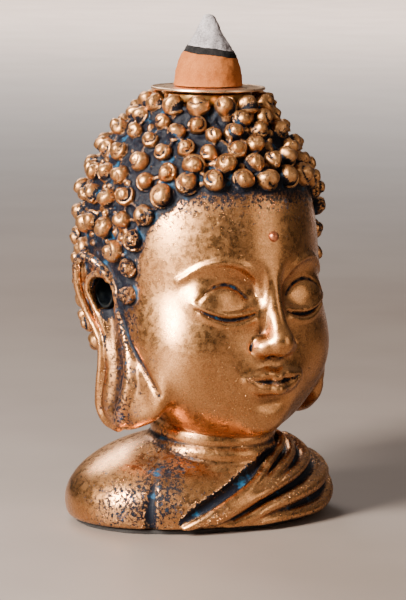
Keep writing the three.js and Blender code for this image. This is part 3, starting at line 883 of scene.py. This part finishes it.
# The folds that gather towards the right front, and the hollows between them.
FOLDS = [
    [(17.5, -4, 18.4, 0.9), (17, -10.5, 16.3, 1.1), (13.6, -15.5, 14.5, 1.1), (6, -20.5, 11.9, 1.1),
     (0.7, -22.2, 9.8, 1.0), (-4.7, -22.8, 8, 1.0), (-9.4, -22.5, 5.5, 1.0), (-13.4, -21.2, 2.9, 0.8)],
    [(21.5, -3, 16.6, 0.9), (21, -10.5, 14, 1.2), (16.5, -16.7, 12.3, 1.3), (8.5, -20.8, 10.6, 1.3),
     (0.5, -22.7, 8.6, 1.3), (-6.7, -22.9, 5.9, 1.2), (-11, -22, 3.0, 0.9)],
    [(28.4, -3, 11.8, 0.9), (27.2, -9.6, 9.8, 1.3), (23, -15, 8.8, 1.5), (16.6, -19.5, 7.7, 1.5),
     (8.8, -22.3, 6.6, 1.4), (2.5, -23.3, 5.4, 1.3), (-2.5, -23.3, 3.5, 1.1), (-8, -22, 1.2, 0.8)],
    [(30.6, -4, 7.5, 0.9), (27.4, -12, 4.6, 1.3), (19.2, -18.4, 2.6, 1.5), (8.4, -22.2, 2.6, 1.4),
     (0.3, -23, 2.0, 1.2), (-6.1, -22.1, 0.8, 0.9)],
]
HOLLOWS = [
    [(15.7, -7, 18.7, 0.9), (14.8, -11.2, 17, 1.2), (11, -15.9, 15.2, 1.3), (4.1, -20.3, 12.5, 1.0),
     (0.9, -21.5, 11.1, 0.5)],
    [(19.4, -6, 17.3, 0.8), (18.3, -12.5, 14.8, 1.1), (13.5, -17.4, 13.1, 0.9), (9, -19.8, 12, 0.4)],
    [(24.6, -4, 14.8, 0.9), (22.6, -11.6, 12.6, 1.5), (15.4, -18.4, 10.6, 1.6), (8.3, -21.7, 8.9, 1.4),
     (1.6, -23.1, 7.1, 1.2), (-3, -23.3, 5.1, 0.9), (-6.7, -22.8, 3.0, 0.5)],
    [(29.4, -6, 8.6, 0.8), (26.2, -12, 7, 1.3), (20.5, -17.6, 5.3, 1.4), (14, -20.9, 4.9, 1.2),
     (8.2, -22.5, 3.9, 0.6)],
]
BACK_FOLDS = 6
# Where the paint is thin: the place, how far it reaches, and how thin it is.
BUST_WORN_SPOTS = [((-22.5, -15.5, 8), 6, 1), ((-19.5, -13.5, 13.5), 4.5, 1), ((-30, -9, 6), 8, 0.7),
                   ((-14.5, -5, 18.6), 5, 0.8), ((-12.5, -13, 16.4), 4, 0.5), ((-12, -21.5, 5), 6, 0.4)]


def robe_region(x, y):
    """How far a place in plan is inside the robe, from the hem outwards."""
    hem = np.vstack([spline([mark[:2] for mark in HEM], 5), (-20, -25), (-24, -45)])
    back = spline([(14.2, -6), (15, 1), (12.5, 9), (5, 15), (-6, 18.5), (-15, 19.5), (-24, 24),
                   (-30, 34)], 5)
    line = np.vstack([hem[::-1], back[1:]])
    outline = np.vstack([line, (-30, 90), (90, 90), (90, -45)])
    best = np.full(np.broadcast_shapes(x.shape, y.shape), FAR)
    inside = np.zeros(best.shape, bool)
    for a, b in zip(line[:-1], line[1:]):
        along = b - a
        t = np.clip(((x - a[0]) * along[0] + (y - a[1]) * along[1]) / (along @ along), 0, 1)
        best = np.minimum(best, np.hypot(x - a[0] - t * along[0], y - a[1] - t * along[1]))
    for a, b in zip(outline, np.roll(outline, -1, 0)):
        crosses = (a[1] > y) != (b[1] > y)
        rise = b[1] - a[1] if b[1] != a[1] else 1.0
        inside ^= crosses & (x < a[0] + (y - a[1]) * (b[0] - a[0]) / rise)
    return np.where(inside, best, -best)


def robe(clay):
    """A thin layer over the left shoulder and the back, its hem, and the folds that run to it."""
    _, x, y, _ = clay.block(clay.low, clay.low + clay.step * clay.count)
    inside = np.clip(robe_region(x[:, :, 0], y[:, :, 0]) / 1.6, 0, 1)[:, :, None].astype(np.float32)
    clay.d = clay.d - 0.7 * inside
    for hollow in HOLLOWS:
        clay.stroke(on_torso(clay, hollow, 0.2), 0.5, cut=True, dark=0.1)
    clay.stroke(on_torso(clay, HEM, 0.3), 0.6)
    for fold in FOLDS:
        clay.stroke(on_torso(clay, fold, -0.1), 0.8)
    for t in np.arange(BACK_FOLDS) / (BACK_FOLDS - 1):
        marks = [(20 + 5 * t, 6 + 3 * t, 16 - 5 * t, 0.9), (14 + 4 * t, 17 + 2.5 * t, 13 - 6 * t, 1.1),
                 (0, 22 + 2 * t, 12 - 8 * t, 1.1), (-14 - 2 * t, 20 + t, 9 - 6 * t, 0.8),
                 (-20 - 2 * t, 17 + t, 7 - 5 * t, 0.3)]
        clay.stroke(on_torso(clay, marks, 0.0), 0.9)


def bare_shoulder(clay):
    """The groove between the bare right arm and the chest."""
    crease = [(-22.4, -14.1, 12.2, 0.3), (-23.8, -15.1, 9.1, 0.8), (-24.6, -15.6, 6, 1.15),
              (-24.4, -15.4, 1, 1.35)]
    clay.stroke(on_torso(clay, crease, 0.25), 1.0, cut=True, dark=0.4)


def bust_clay():
    low, high, _ = box_mm("bust_casting")
    clay = Clay(low - MARGIN, (high[0] + MARGIN, high[1] + MARGIN, high[2] + 1.5), VOXEL)
    clay.add(ellipsoid(TORSO_CENTRE, TORSO_RADII))
    bare_shoulder(clay)
    clay.add(neck_form(0.0, NECK_TOP), blend=0.9)
    clay.stroke(on_torso(clay, NECKLINE_GAP, 0.7), 0.5, cut=True, dark=0.5)
    robe(clay)
    _, _, _, z = clay.block(clay.low, clay.low + clay.step * clay.count)
    clay.d = -smooth_min(-clay.d, np.broadcast_to(z - low[2], clay.d.shape), 1.0)
    plug_radius = box_mm("base_plug")[2]
    clay.cut(rod((0, 1), plug_radius + CLEARANCE, 0, 11))
    clay.add(rod((0, NECK_Y), STUB_RADIUS, NECK_TOP - 1, STUB_TOP))
    return clay


def bust_worn(places):
    """The paint has gone from round the groove, the foot of the neck, the arm and the folds."""
    wear = 0.12 + 0.45 * np.clip((places[:, 0] + 6) / 14, 0, 1)
    for centre, reach, share in BUST_WORN_SPOTS:
        wear = wear + share * np.exp(-(np.linalg.norm(places - centre, axis=1) / reach) ** 2)
    return np.clip(wear, 0, 1)


# Materials

COPPER_SHADE = (0.50, 0.215, 0.070)
COPPER_LIGHT = (0.60, 0.275, 0.100)
COPPER_GRAIN_LIGHT = (0.90, 0.52, 0.24)
COPPER_GRAIN_DARK = (0.15, 0.065, 0.028)
COPPER_ON_CURLS = (0.40, 0.20, 0.075)
# Painted shade: a dark copper laid round the feet of the curls and on the scalp between them.
COPPER_PAINTED_SHADE_UNDER_CURLS = (0.20, 0.085, 0.03)
# Painted shade: a dark copper that the paint fades into towards the hollows.
COPPER_PAINTED_SHADE_BY_HOLLOWS = (0.17, 0.075, 0.032)
GROUND_BLACK = (0.003, 0.004, 0.008)
GROUND_DUST = (0.030, 0.020, 0.014)
GROUND_BLUE = (0.008, 0.050, 0.10)


class Look:
    """A small helper that adds nodes to one material and links them."""

    def __init__(self, name):
        self.material = bpy.data.materials.new(name)
        self.material.use_nodes = True
        self.tree = self.material.node_tree
        self.shader = next(node for node in self.tree.nodes if node.type == "BSDF_PRINCIPLED")

    def node(self, kind, **values):
        node = self.tree.nodes.new(kind)
        for name, value in values.items():
            setattr(node, name, value)
        return node

    def link(self, source, target):
        self.tree.links.new(source, target)

    def feed(self, node, name, value):
        """Sets an input to a value, or links an output to it."""
        socket = node.inputs[name]
        if isinstance(value, bpy.types.NodeSocket):
            self.link(value, socket)
        else:
            socket.default_value = value

    def attribute(self, name):
        return self.node("ShaderNodeAttribute", attribute_name=name).outputs["Fac"]

    def noise(self, size_mm, detail=4.0, roughness=0.55, distortion=0.0, stretch=None):
        where = self.node("ShaderNodeTexCoord").outputs["Object"]
        if stretch:
            mapping = self.node("ShaderNodeMapping")
            mapping.inputs["Scale"].default_value = stretch
            self.link(where, mapping.inputs["Vector"])
            where = mapping.outputs["Vector"]
        noise = self.node("ShaderNodeTexNoise")
        for name, value in (("Vector", where), ("Scale", 1 / (size_mm * MM)), ("Detail", detail),
                            ("Roughness", roughness), ("Distortion", distortion)):
            self.feed(noise, name, value)
        return noise.outputs["Fac"]

    def math(self, operation, a, b=0.0):
        node = self.node("ShaderNodeMath", operation=operation)
        self.feed(node, 0, a)
        self.feed(node, 1, b)
        return node.outputs[0]

    def add(self, a, b):
        return self.math("ADD", a, b)

    def less(self, a, b):
        return self.math("SUBTRACT", a, b)

    def times(self, a, b):
        return self.math("MULTIPLY", a, b)

    def larger(self, a, b):
        return self.math("MAXIMUM", a, b)

    def swing(self, noise, size):
        """A noise as a change of up to half a size either way."""
        return self.times(self.less(noise, 0.5), size)

    def ramp(self, value, low, high, to_low=0.0, to_high=1.0):
        """A smooth step from one value to another between two limits."""
        node = self.node("ShaderNodeMapRange", interpolation_type="SMOOTHSTEP")
        for name, setting in (("Value", value), ("From Min", low), ("From Max", high),
                              ("To Min", to_low), ("To Max", to_high)):
            self.feed(node, name, setting)
        return node.outputs["Result"]

    def mix(self, factor, a, b):
        """Goes from one colour to another."""
        node = self.node("ShaderNodeMix", data_type="RGBA")
        self.feed(node, 0, factor)
        for index, colour in ((6, a), (7, b)):
            self.feed(node, index, (*colour, 1) if isinstance(colour, tuple) else colour)
        return node.outputs[2]

    def blend(self, factor, a, b):
        """Goes from one number to another."""
        node = self.node("ShaderNodeMix", data_type="FLOAT")
        self.feed(node, 0, factor)
        self.feed(node, 2, a)
        self.feed(node, 3, b)
        return node.outputs[0]

    def bump(self, height, depth_mm, strength=1.0, under=None):
        node = self.node("ShaderNodeBump")
        for name, value in (("Strength", strength), ("Distance", depth_mm * MM), ("Height", height)):
            self.feed(node, name, value)
        if under is not None:
            self.link(under, node.inputs["Normal"])
        return node.outputs["Normal"]

    def finish(self, colour, roughness, metallic, normal=None):
        self.feed(self.shader, "Base Color", (*colour, 1) if isinstance(colour, tuple) else colour)
        self.feed(self.shader, "Roughness", roughness)
        self.feed(self.shader, "Metallic", metallic)
        if normal is not None:
            self.link(normal, self.shader.inputs["Normal"])
        return self.material


def copper_cover(look, marks, grit, hair_zone, sunk, threshold):
    """Where the paint stays: on the skin off the hollows, and on the curls off the scalp."""
    on_skin = look.ramp(look.less(sunk, threshold), -0.08, 0.10)
    raised = look.ramp(look.add(marks["lift"], look.swing(grit, 1.1)), 0.35, 0.75)
    clear = look.ramp(look.add(marks["fine"], look.swing(grit, 0.5)), -0.42, -0.2)
    glint = look.ramp(look.noise(0.42, detail=3, roughness=0.7), 0.64, 0.70)
    on_scalp = look.larger(look.times(raised, clear), look.times(glint, 0.75))
    return look.blend(hair_zone, on_skin, on_scalp)


def copper_colour(look, grain, hair_zone, lift, over):
    """The paint's colour: broad tones, bright and dark grains and browner curls, with painted shade
    round the feet of the curls and painted shade that darkens the copper towards the hollows.
    """
    tone = look.noise(7, detail=4, roughness=0.6)
    copper = look.mix(look.ramp(tone, 0.3, 0.7), COPPER_SHADE, COPPER_LIGHT)
    for mask, share, colour in (
        (look.ramp(grain, 0.5, 0.68), 0.5, COPPER_GRAIN_LIGHT),
        (look.ramp(grain, 0.5, 0.34), 0.55, COPPER_GRAIN_DARK),
        (hair_zone, 0.45, COPPER_ON_CURLS),
        # Painted shade round the feet of the curls: the copper darkens close to the scalp.
        (look.times(hair_zone, look.ramp(lift, 2.2, 0.5)), 0.75, COPPER_PAINTED_SHADE_UNDER_CURLS),
    ):
        copper = look.mix(look.times(mask, share), copper, colour)
    # Painted shade: the copper darkens as it nears the hollows.
    return look.mix(look.ramp(over, 0.05, 0.5), COPPER_PAINTED_SHADE_BY_HOLLOWS, copper)


def rubbed_copper():
    """Metallic copper paint rubbed over a blue-black ground that stays in the hollows."""
    look = Look("rubbed_copper")
    marks = {name: look.attribute(name) for name in ("fine", "broad", "worn", "dark", "hair", "lift")}
    worn = marks["worn"]
    grit = look.noise(0.5, detail=5, roughness=0.7)
    flakes = look.noise(0.75, detail=6, roughness=0.75, distortion=0.4)
    ragged = look.add(look.times(grit, 0.9), look.times(flakes, 1.1))
    hair_zone = look.ramp(look.add(marks["hair"], look.less(ragged, 1.0)), 0.47, 0.53)
    sunk = look.add(marks["fine"], look.times(marks["broad"], 0.75))
    sunk = look.add(sunk, look.swing(grit, 0.5))
    sunk = look.add(sunk, look.swing(look.noise(4.5, detail=3), 0.3))
    threshold = look.blend(worn, -0.62, -0.28)
    covered = copper_cover(look, marks, grit, hair_zone, sunk, threshold)
    stained = look.add(look.add(marks["dark"], look.swing(flakes, 1.7)), look.swing(grit, 0.8))
    covered = look.times(covered, look.ramp(stained, 0.56, 0.48))

    scuffed = look.larger(worn, look.times(hair_zone, 0.45))
    flaked = look.ramp(look.less(flakes, look.blend(scuffed, 0.66, 0.47)), 0.0, 0.03)
    dots = look.noise(0.28, detail=2, roughness=0.6)
    dotted = look.ramp(look.less(dots, look.blend(scuffed, 0.74, 0.60)), 0.0, 0.03)
    rubbed = look.times(covered, look.less(1.0, look.larger(flaked, dotted)))

    grain = look.noise(0.2, detail=2, roughness=0.6)
    copper = copper_colour(look, grain, hair_zone, marks["lift"], look.less(sunk, threshold))
    blue = look.ramp(look.noise(3.2, detail=4, roughness=0.65), 0.56, 0.68)
    dust = look.ramp(look.noise(0.3, detail=4, roughness=0.7), 0.55, 0.75)
    ground = look.mix(blue, look.mix(dust, GROUND_BLACK, GROUND_DUST), GROUND_BLUE)
    colour = look.mix(rubbed, ground, copper)

    wear = look.ramp(look.noise(1.4, detail=5, roughness=0.65), 0.35, 0.7, 0.24, 0.38)
    roughness = look.blend(rubbed, 0.4, look.add(wear, look.times(hair_zone, 0.1)))
    look.feed(look.shader, "Specular IOR Level", look.blend(rubbed, 0.12, 0.5))
    scratches = look.noise(0.35, detail=3, stretch=(1.0, 0.25, 1.0))
    pitted = look.times(grit, look.less(1.0, rubbed))
    normal = None
    for height, depth_mm, strength in ((grain, 0.02, 0.6), (scratches, 0.03, 0.3), (rubbed, 0.03, 0.4),
                                       (pitted, 0.2, 1.0)):
        normal = look.bump(height, depth_mm, strength, under=normal)
    return look.finish(colour, roughness, look.blend(rubbed, 0.0, 1.0), normal)


def red_copper():
    """A satin reddish copper."""
    look = Look("red_copper")
    tone = look.noise(0.7, detail=4)
    colour = look.mix(look.ramp(tone, 0.35, 0.7), (0.34, 0.10, 0.045), (0.62, 0.23, 0.11))
    roughness = look.ramp(look.noise(0.3), 0.3, 0.7, 0.28, 0.45)
    return look.finish(colour, roughness, 0.95, look.bump(look.noise(0.2), 0.012, 0.5))


def turned_metal(name, dark, light, low_rough, high_rough):
    """A lathe-turned metal with fine rings, tarnish and handling marks."""
    look = Look(name)
    tarnish = look.noise(3.0, detail=5, roughness=0.65)
    colour = look.mix(look.ramp(tarnish, 0.35, 0.68), dark, light)
    roughness = look.ramp(look.noise(1.2, detail=4), 0.3, 0.7, low_rough, high_rough)
    rings = look.noise(0.12, detail=1, stretch=(0.04, 0.04, 1.0))
    normal = look.bump(rings, 0.01, 0.4)
    return look.finish(colour, roughness, 1.0, look.bump(look.noise(0.25), 0.006, 0.4, under=normal))


def powder(name, dark, light, size_mm, depth_mm):
    """Something dry and grainy: pressed incense, char, ash or filler."""
    look = Look(name)
    grains = look.noise(size_mm, detail=5, roughness=0.75)
    blotch = look.noise(size_mm * 9, detail=3)
    mixed = look.add(look.times(grains, 0.65), look.times(blotch, 0.35))
    look.feed(look.shader, "Specular IOR Level", 0.12)
    colour = look.mix(look.ramp(mixed, 0.36, 0.64), dark, light)
    roughness = look.ramp(grains, 0.3, 0.7, 0.85, 1.0)
    return look.finish(colour, roughness, 0.0, look.bump(grains, depth_mm, 0.8))


def felt():
    """Matted dark fibres."""
    look = Look("felt")
    fibres = look.noise(0.35, detail=6, roughness=0.8, distortion=1.2)
    colour = look.mix(look.ramp(fibres, 0.35, 0.7), (0.012, 0.010, 0.009), (0.05, 0.042, 0.038))
    return look.finish(colour, 1.0, 0.0, look.bump(fibres, 0.12, 1.0))


# The small parts


def crown_ferrule():
    """The brass collar: a spigot in the crown, a flange on it, and a bore for the tube."""
    low, high, radius = box_mm("crown_ferrule")
    tube_top, tube_radius = box_mm("smoke_tube")[1:]
    inner = tube_radius + CLEARANCE
    seat = tube_top[2] + CLEARANCE
    flange = CROWN_FLAT + CLEARANCE
    cup = 5.6
    profile = [(inner, low[2]), (FERRULE_SPIGOT, low[2]), (FERRULE_SPIGOT, flange),
               (radius - 0.25, flange), (radius, flange + 0.4), (radius, high[2] - 0.35),
               (radius - 0.3, high[2]), (cup, high[2]), (cup, seat), (inner, seat)]
    return turned_piece("crown_ferrule_fine", rounded(profile), (0, CROWN_Y))


def pipe_profile(radius, wall, low, high):
    return rounded([(radius - wall, low), (radius, low), (radius, high), (radius - wall, high)])


def smoke_tube():
    low, high, radius = box_mm("smoke_tube")
    profile = pipe_profile(radius, 0.7, low[2], high[2])
    return turned_piece("smoke_tube_fine", profile, (0, CROWN_Y), segments=48)


def ear_port(node):
    """A short liner, turned upright and then laid along X in its ear."""
    low, high, radius = box_mm(node, 2)
    profile = pipe_profile(radius, 0.6, low[0], high[0])
    piece = turned_piece(node + "_fine", profile, (0, 0), segments=48)
    middle_y, middle_z = (low[1] + high[1]) / 2, (low[2] + high[2]) / 2
    places = points_mm(piece)
    laid = np.stack([places[:, 2], middle_y + places[:, 1], middle_z - places[:, 0]], 1)
    move_points(piece, laid)
    return piece


def drip_plate():
    """A thin spun disc with a rolled bright rim, a faint dish and a locating skirt."""
    low, high, radius = box_mm("drip_plate")
    top = high[2]
    bottom = top - 0.8
    hole, skirt_inner, skirt_outer = 2.0, 4.4, 5.2
    profile = [(hole, bottom), (skirt_inner, bottom), (skirt_inner, low[2]), (skirt_outer, low[2]),
               (skirt_outer, bottom), (9.6, bottom),
               (radius - 1.0, bottom + 0.05), (radius - 0.15, bottom + 0.2), (radius, bottom + 0.42),
               (radius - 0.1, top - 0.02), (radius - 0.45, top + 0.05), (radius - 0.8, top - 0.08),
               (radius - 1.6, top - 0.16), (8.3, top - 0.05), (7.6, top), (hole, top)]
    return turned_piece("drip_plate_fine", rounded(profile, 0.12), (0, CROWN_Y), segments=144)


def urna_bead(forehead_y):
    """The bead on the forehead, a little uneven, with its middle just inside the skin."""
    low, high, radius = box_mm("urna_bead")
    centre = (low + high) / 2
    centre[1] = forehead_y - 0.1
    lumps = Noise(5)
    rings, segments = 20, 32
    vertices = []
    for i in range(rings + 1):
        polar = math.pi * i / rings
        for j in range(segments):
            turn = 2 * math.pi * j / segments
            out = np.array([math.sin(polar) * math.cos(turn), -math.cos(polar),
                            math.sin(polar) * math.sin(turn)])
            swell = 1 + 0.05 * float(lumps.at(out[None] * 3 + 9, 1.3)[0])
            vertices.append(centre + out * radius * (swell if 0 < i < rings else 1.0))
    piece = new_piece("urna_bead_fine", vertices, band_faces(rings, rings + 1, segments))
    weld(piece)
    return piece


def weld(piece):
    """Merges the vertices that meet at a pole and drops the faces that vanish there."""
    bm = bmesh.new()
    bm.from_mesh(piece.data)
    bmesh.ops.remove_doubles(bm, verts=bm.verts, dist=TINY)
    bmesh.ops.recalc_face_normals(bm, faces=bm.faces)
    bm.to_mesh(piece.data)
    bm.free()
    smooth(piece.data)


def felt_pad():
    """The felt under the statue, cut by hand, so that its edge wanders a little."""
    low, high, _ = box_mm("felt_base_pad")
    centre = (low + high) / 2
    half = (high - low) / 2
    pinhole = 0.02
    profile = [(pinhole, 0.0), (half[0], 0.0), (half[0], high[2]), (pinhole, high[2])]
    piece = turned_piece("felt_base_pad_fine", rounded(profile, 0.35, 4), centre, segments=192,
                         stretch_y=half[1] / half[0])
    places = points_mm(piece)
    wander = Noise(8).layered(places * (1, 1, 0.3), 3.0)
    rim = np.hypot(*((places[:, :2] - centre[:2]) / half[:2]).T) > 0.8
    pull = np.where(rim, 1 - 0.012 * (wander + 1), 1.0)[:, None]
    places[:, :2] = centre[:2] + (places[:, :2] - centre[:2]) * pull
    move_points(piece, places)
    return piece


# The incense

EMBER_TILT = math.tan(math.radians(9))
CONE_AXIS_TURN = math.radians(-35)
# Height and radius as shares of the whole: full sides below the char, a shrunken blunt tip of ash
# above it.
CONE_SIDES = [(0, 1), (0.24, 0.93), (0.42, 0.80), (0.53, 0.665), (0.75, 0.38), (0.92, 0.225),
              (0.98, 0.14), (1, 0)]
CHAR_START, ASH_START = 7.0, 8.5


def cone_layer(name, shape, low_edge, high_edge, lump_mm, lump_size, seed):
    """One layer of the cone between two burnt edges, each a height that changes round the cone."""
    base, tip_height, foot_radius = shape
    sides = spline(CONE_SIDES, 12)
    segments, rows = 112, 46
    turn = 2 * np.pi * np.arange(segments) / segments
    low, high = low_edge(turn), high_edge(turn)
    rings = []
    for i in range(rows + 1):
        height = low + (high - low) * (i / rows)
        t = np.clip(height / tip_height, 0, 1)
        radius = foot_radius * np.interp(t, sides[:, 0], sides[:, 1])
        rings.append(np.stack([radius * np.cos(turn), radius * np.sin(turn), height], 1))
    places = np.vstack(rings)
    out = places * (1, 1, 0) / (np.linalg.norm(places[:, :2], axis=1, keepdims=True) + TINY)
    places = places + out * (lump_mm * Noise(seed).layered(places + 40, lump_size, 4))[:, None]
    vertices = np.vstack([places, (0, 0, low.mean()), (0, 0, high.mean())])
    faces = band_faces(rows, rows + 1, segments)
    bottom_centre, top_centre = len(places), len(places) + 1
    last = rows * segments
    for j in range(segments):
        k = (j + 1) % segments
        faces.append((bottom_centre, k, j))
        faces.append((top_centre, last + j, last + k))
    piece = new_piece(name, vertices + (0, CROWN_Y, base), faces)
    weld(piece)
    return piece


def incense():
    """The cone's three layers share their burnt edges, so that they meet all the way round."""
    low, _, radius = box_mm("incense_cone")
    base, top = low[2], box_mm("cone_ash_tip")[1][2]
    foot_radius = radius - 0.1
    shape = (base, top - base, foot_radius)
    edge_noise = Noise(21)

    def burnt(height, ragged):
        def edge(turn):
            radius = foot_radius * (1 - height / shape[1])
            across = radius * np.cos(turn - CONE_AXIS_TURN)
            ring = np.stack([4 * np.cos(turn), 4 * np.sin(turn), np.full_like(turn, height)], 1)
            return height - across * EMBER_TILT + ragged * edge_noise.layered(ring + 30, 2.2, 3)
        return edge

    def foot(turn):
        return np.zeros_like(turn)

    def tip(turn):
        return np.full_like(turn, shape[1])

    char_start, ash_start = burnt(CHAR_START, 0.14), burnt(ASH_START, 0.22)
    return (
        cone_layer("incense_cone_fine", shape, foot, char_start, 0.09, 0.9, 31),
        cone_layer("cone_char_band_fine", shape, char_start, ash_start, 0.12, 0.6, 32),
        cone_layer("cone_ash_tip_fine", shape, ash_start, tip, 0.17, 1.3, 33),
    )


# Setting

VIEW_TURN = math.radians(-35)
FLOOR_DARK = (0.170, 0.132, 0.110)
FLOOR_PALE = (0.190, 0.150, 0.126)


def area_light(name, place, target, size, power, colour):
    data = bpy.data.lights.new(name, "AREA")
    data.shape = "RECTANGLE"
    data.size, data.size_y = size
    data.energy = power
    data.color = colour
    light = bpy.data.objects.new(name, data)
    light.location = place
    light.rotation_euler = (Vector(target) - Vector(place)).to_track_quat("-Z", "Y").to_euler()
    bpy.context.scene.collection.objects.link(light)


def world_light():
    """A warm grey world that is dim near the floor and brighter overhead."""
    world = bpy.data.worlds.new("studio")
    world.use_nodes = True
    tree = world.node_tree
    background = tree.nodes["Background"]
    background.inputs["Color"].default_value = (0.62, 0.56, 0.52, 1)
    direction = tree.nodes.new("ShaderNodeTexCoord")
    split = tree.nodes.new("ShaderNodeSeparateXYZ")
    upward = tree.nodes.new("ShaderNodeMapRange")
    for name, number in (("From Min", 0.1), ("From Max", 0.9), ("To Min", 0.06), ("To Max", 0.6)):
        upward.inputs[name].default_value = number
    tree.links.new(direction.outputs["Generated"], split.inputs["Vector"])
    tree.links.new(split.outputs["Z"], upward.inputs["Value"])
    tree.links.new(upward.outputs["Result"], background.inputs["Strength"])
    bpy.context.scene.world = world


def floor():
    """A pale sheet that runs into the distance."""
    mesh = bpy.data.meshes.new("floor")
    reach = 8.0
    sheet = [(-reach, -reach, 0), (reach, -reach, 0), (reach, reach, 0), (-reach, reach, 0)]
    mesh.from_pydata(sheet, [], [(0, 1, 2, 3)])
    ground = bpy.data.objects.new("floor", mesh)
    bpy.context.scene.collection.objects.link(ground)
    look = Look("floor")
    tone = look.noise(60, detail=3)
    colour = look.mix(look.ramp(tone, 0.3, 0.7), FLOOR_DARK, FLOOR_PALE)
    ground.data.materials.append(look.finish(colour, 0.55, 0.0))


def studio():
    """Soft lights placed from the camera's side, over a pale floor."""
    toward = Vector((math.sin(VIEW_TURN), -math.cos(VIEW_TURN), 0))
    aside = Vector((math.cos(VIEW_TURN), math.sin(VIEW_TURN), 0))

    def spot(forward, right, up):
        return toward * forward + aside * right + Vector((0, 0, up))

    middle = (0, 0, 0.055)
    for name, place, target, size, watts, colour in (
        ("key", spot(0.40, -0.38, 0.32), middle, (0.13, 0.28), 23.0, (1.0, 0.96, 0.90)),
        ("fill", spot(0.30, 0.55, 0.20), middle, (0.30, 0.40), 0.7, (1.0, 0.88, 0.78)),
        ("back", spot(-0.45, -0.25, 0.45), middle, (0.35, 0.25), 3.0, (1.0, 0.97, 0.95)),
        ("sweep", spot(-2.4, 0.0, 1.2), spot(-2.95, 0.0, 0.25), (2.5, 1.0), 330.0, (1.0, 0.97, 0.95)),
    ):
        area_light(name, place, target, size, watts, colour)
    world_light()
    floor()


def camera():
    data = bpy.data.cameras.new("camera")
    data.lens = 187
    data.sensor_width = 36
    data.clip_start = 0.01
    eye = bpy.data.objects.new("camera", data)
    distance, height, aim, roll = 0.705, 0.148, 0.0496, math.radians(0.7)
    eye.location = (math.sin(VIEW_TURN) * distance, -math.cos(VIEW_TURN) * distance, height)
    level = (Vector((0, 0, aim)) - eye.location).to_track_quat("-Z", "Y")
    eye.rotation_euler = (level @ Quaternion((0, 0, 1), roll)).to_euler()
    bpy.context.scene.collection.objects.link(eye)
    bpy.context.scene.camera = eye


# Assembly


def paint(piece, material):
    piece.data.materials.clear()
    piece.data.materials.append(material)


def dress(piece, material, body, node, slot):
    """Gives a piece its material and its body, and hides the node that it stands for. The slot is not
    used.
    """
    paint(piece, material)
    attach(piece, body)
    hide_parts(node)


def build():
    copper = rubbed_copper()
    brass = turned_metal("brass_fitting", (0.26, 0.13, 0.035), (0.58, 0.33, 0.11), 0.28, 0.42)
    smoked = turned_metal("smoked_brass", (0.008, 0.010, 0.014), (0.03, 0.035, 0.035), 0.45, 0.65)
    plate_copper = turned_metal("copper_plate", (0.86, 0.53, 0.31), (0.95, 0.65, 0.42), 0.26, 0.34)
    filler = powder("resin_filler", (0.34, 0.31, 0.27), (0.52, 0.48, 0.42), 0.4, 0.05)
    incense_look = powder("incense", (0.23, 0.062, 0.012), (0.34, 0.108, 0.027), 0.3, 0.08)
    char = powder("char", (0.003, 0.003, 0.003), (0.018, 0.015, 0.014), 0.25, 0.1)
    ash = powder("ash", (0.12, 0.105, 0.105), (0.36, 0.32, 0.32), 0.35, 0.09)

    clay = head_clay()
    urna_low, urna_high, _ = box_mm("urna_bead")
    forehead_y = clay.front(0, (urna_low[2] + urna_high[2]) / 2)
    head = cast("head_casting_fine", clay, HEAD_FACES, head_worn, above_hair_edge)
    dress(head, copper, "statue", "head_casting", "rubbed_copper")
    bust = cast("bust_casting_fine", bust_clay(), BUST_FACES, bust_worn)
    dress(bust, copper, "statue", "bust_casting", "rubbed_copper")
    dress(urna_bead(forehead_y), red_copper(), "statue", "urna_bead", "red_copper")
    dress(crown_ferrule(), brass, "statue", "crown_ferrule", "brass_fitting")
    dress(smoke_tube(), brass, "statue", "smoke_tube", "brass_fitting")
    for node in ("ear_port_right", "ear_port_left"):
        dress(ear_port(node), smoked, "statue", node, "brass_fitting")
    dress(felt_pad(), felt(), "statue", "felt_base_pad", "felt")
    paint(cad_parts["base_plug"], filler)
    dress(drip_plate(), plate_copper, "plate", "drip_plate", "copper_plate")
    layers = (("incense_cone", "incense", incense_look), ("cone_char_band", "char", char),
              ("cone_ash_tip", "ash", ash))
    for piece, (node, slot, material) in zip(incense(), layers):
        dress(piece, material, "cone", node, slot)


camera()
studio()
build()
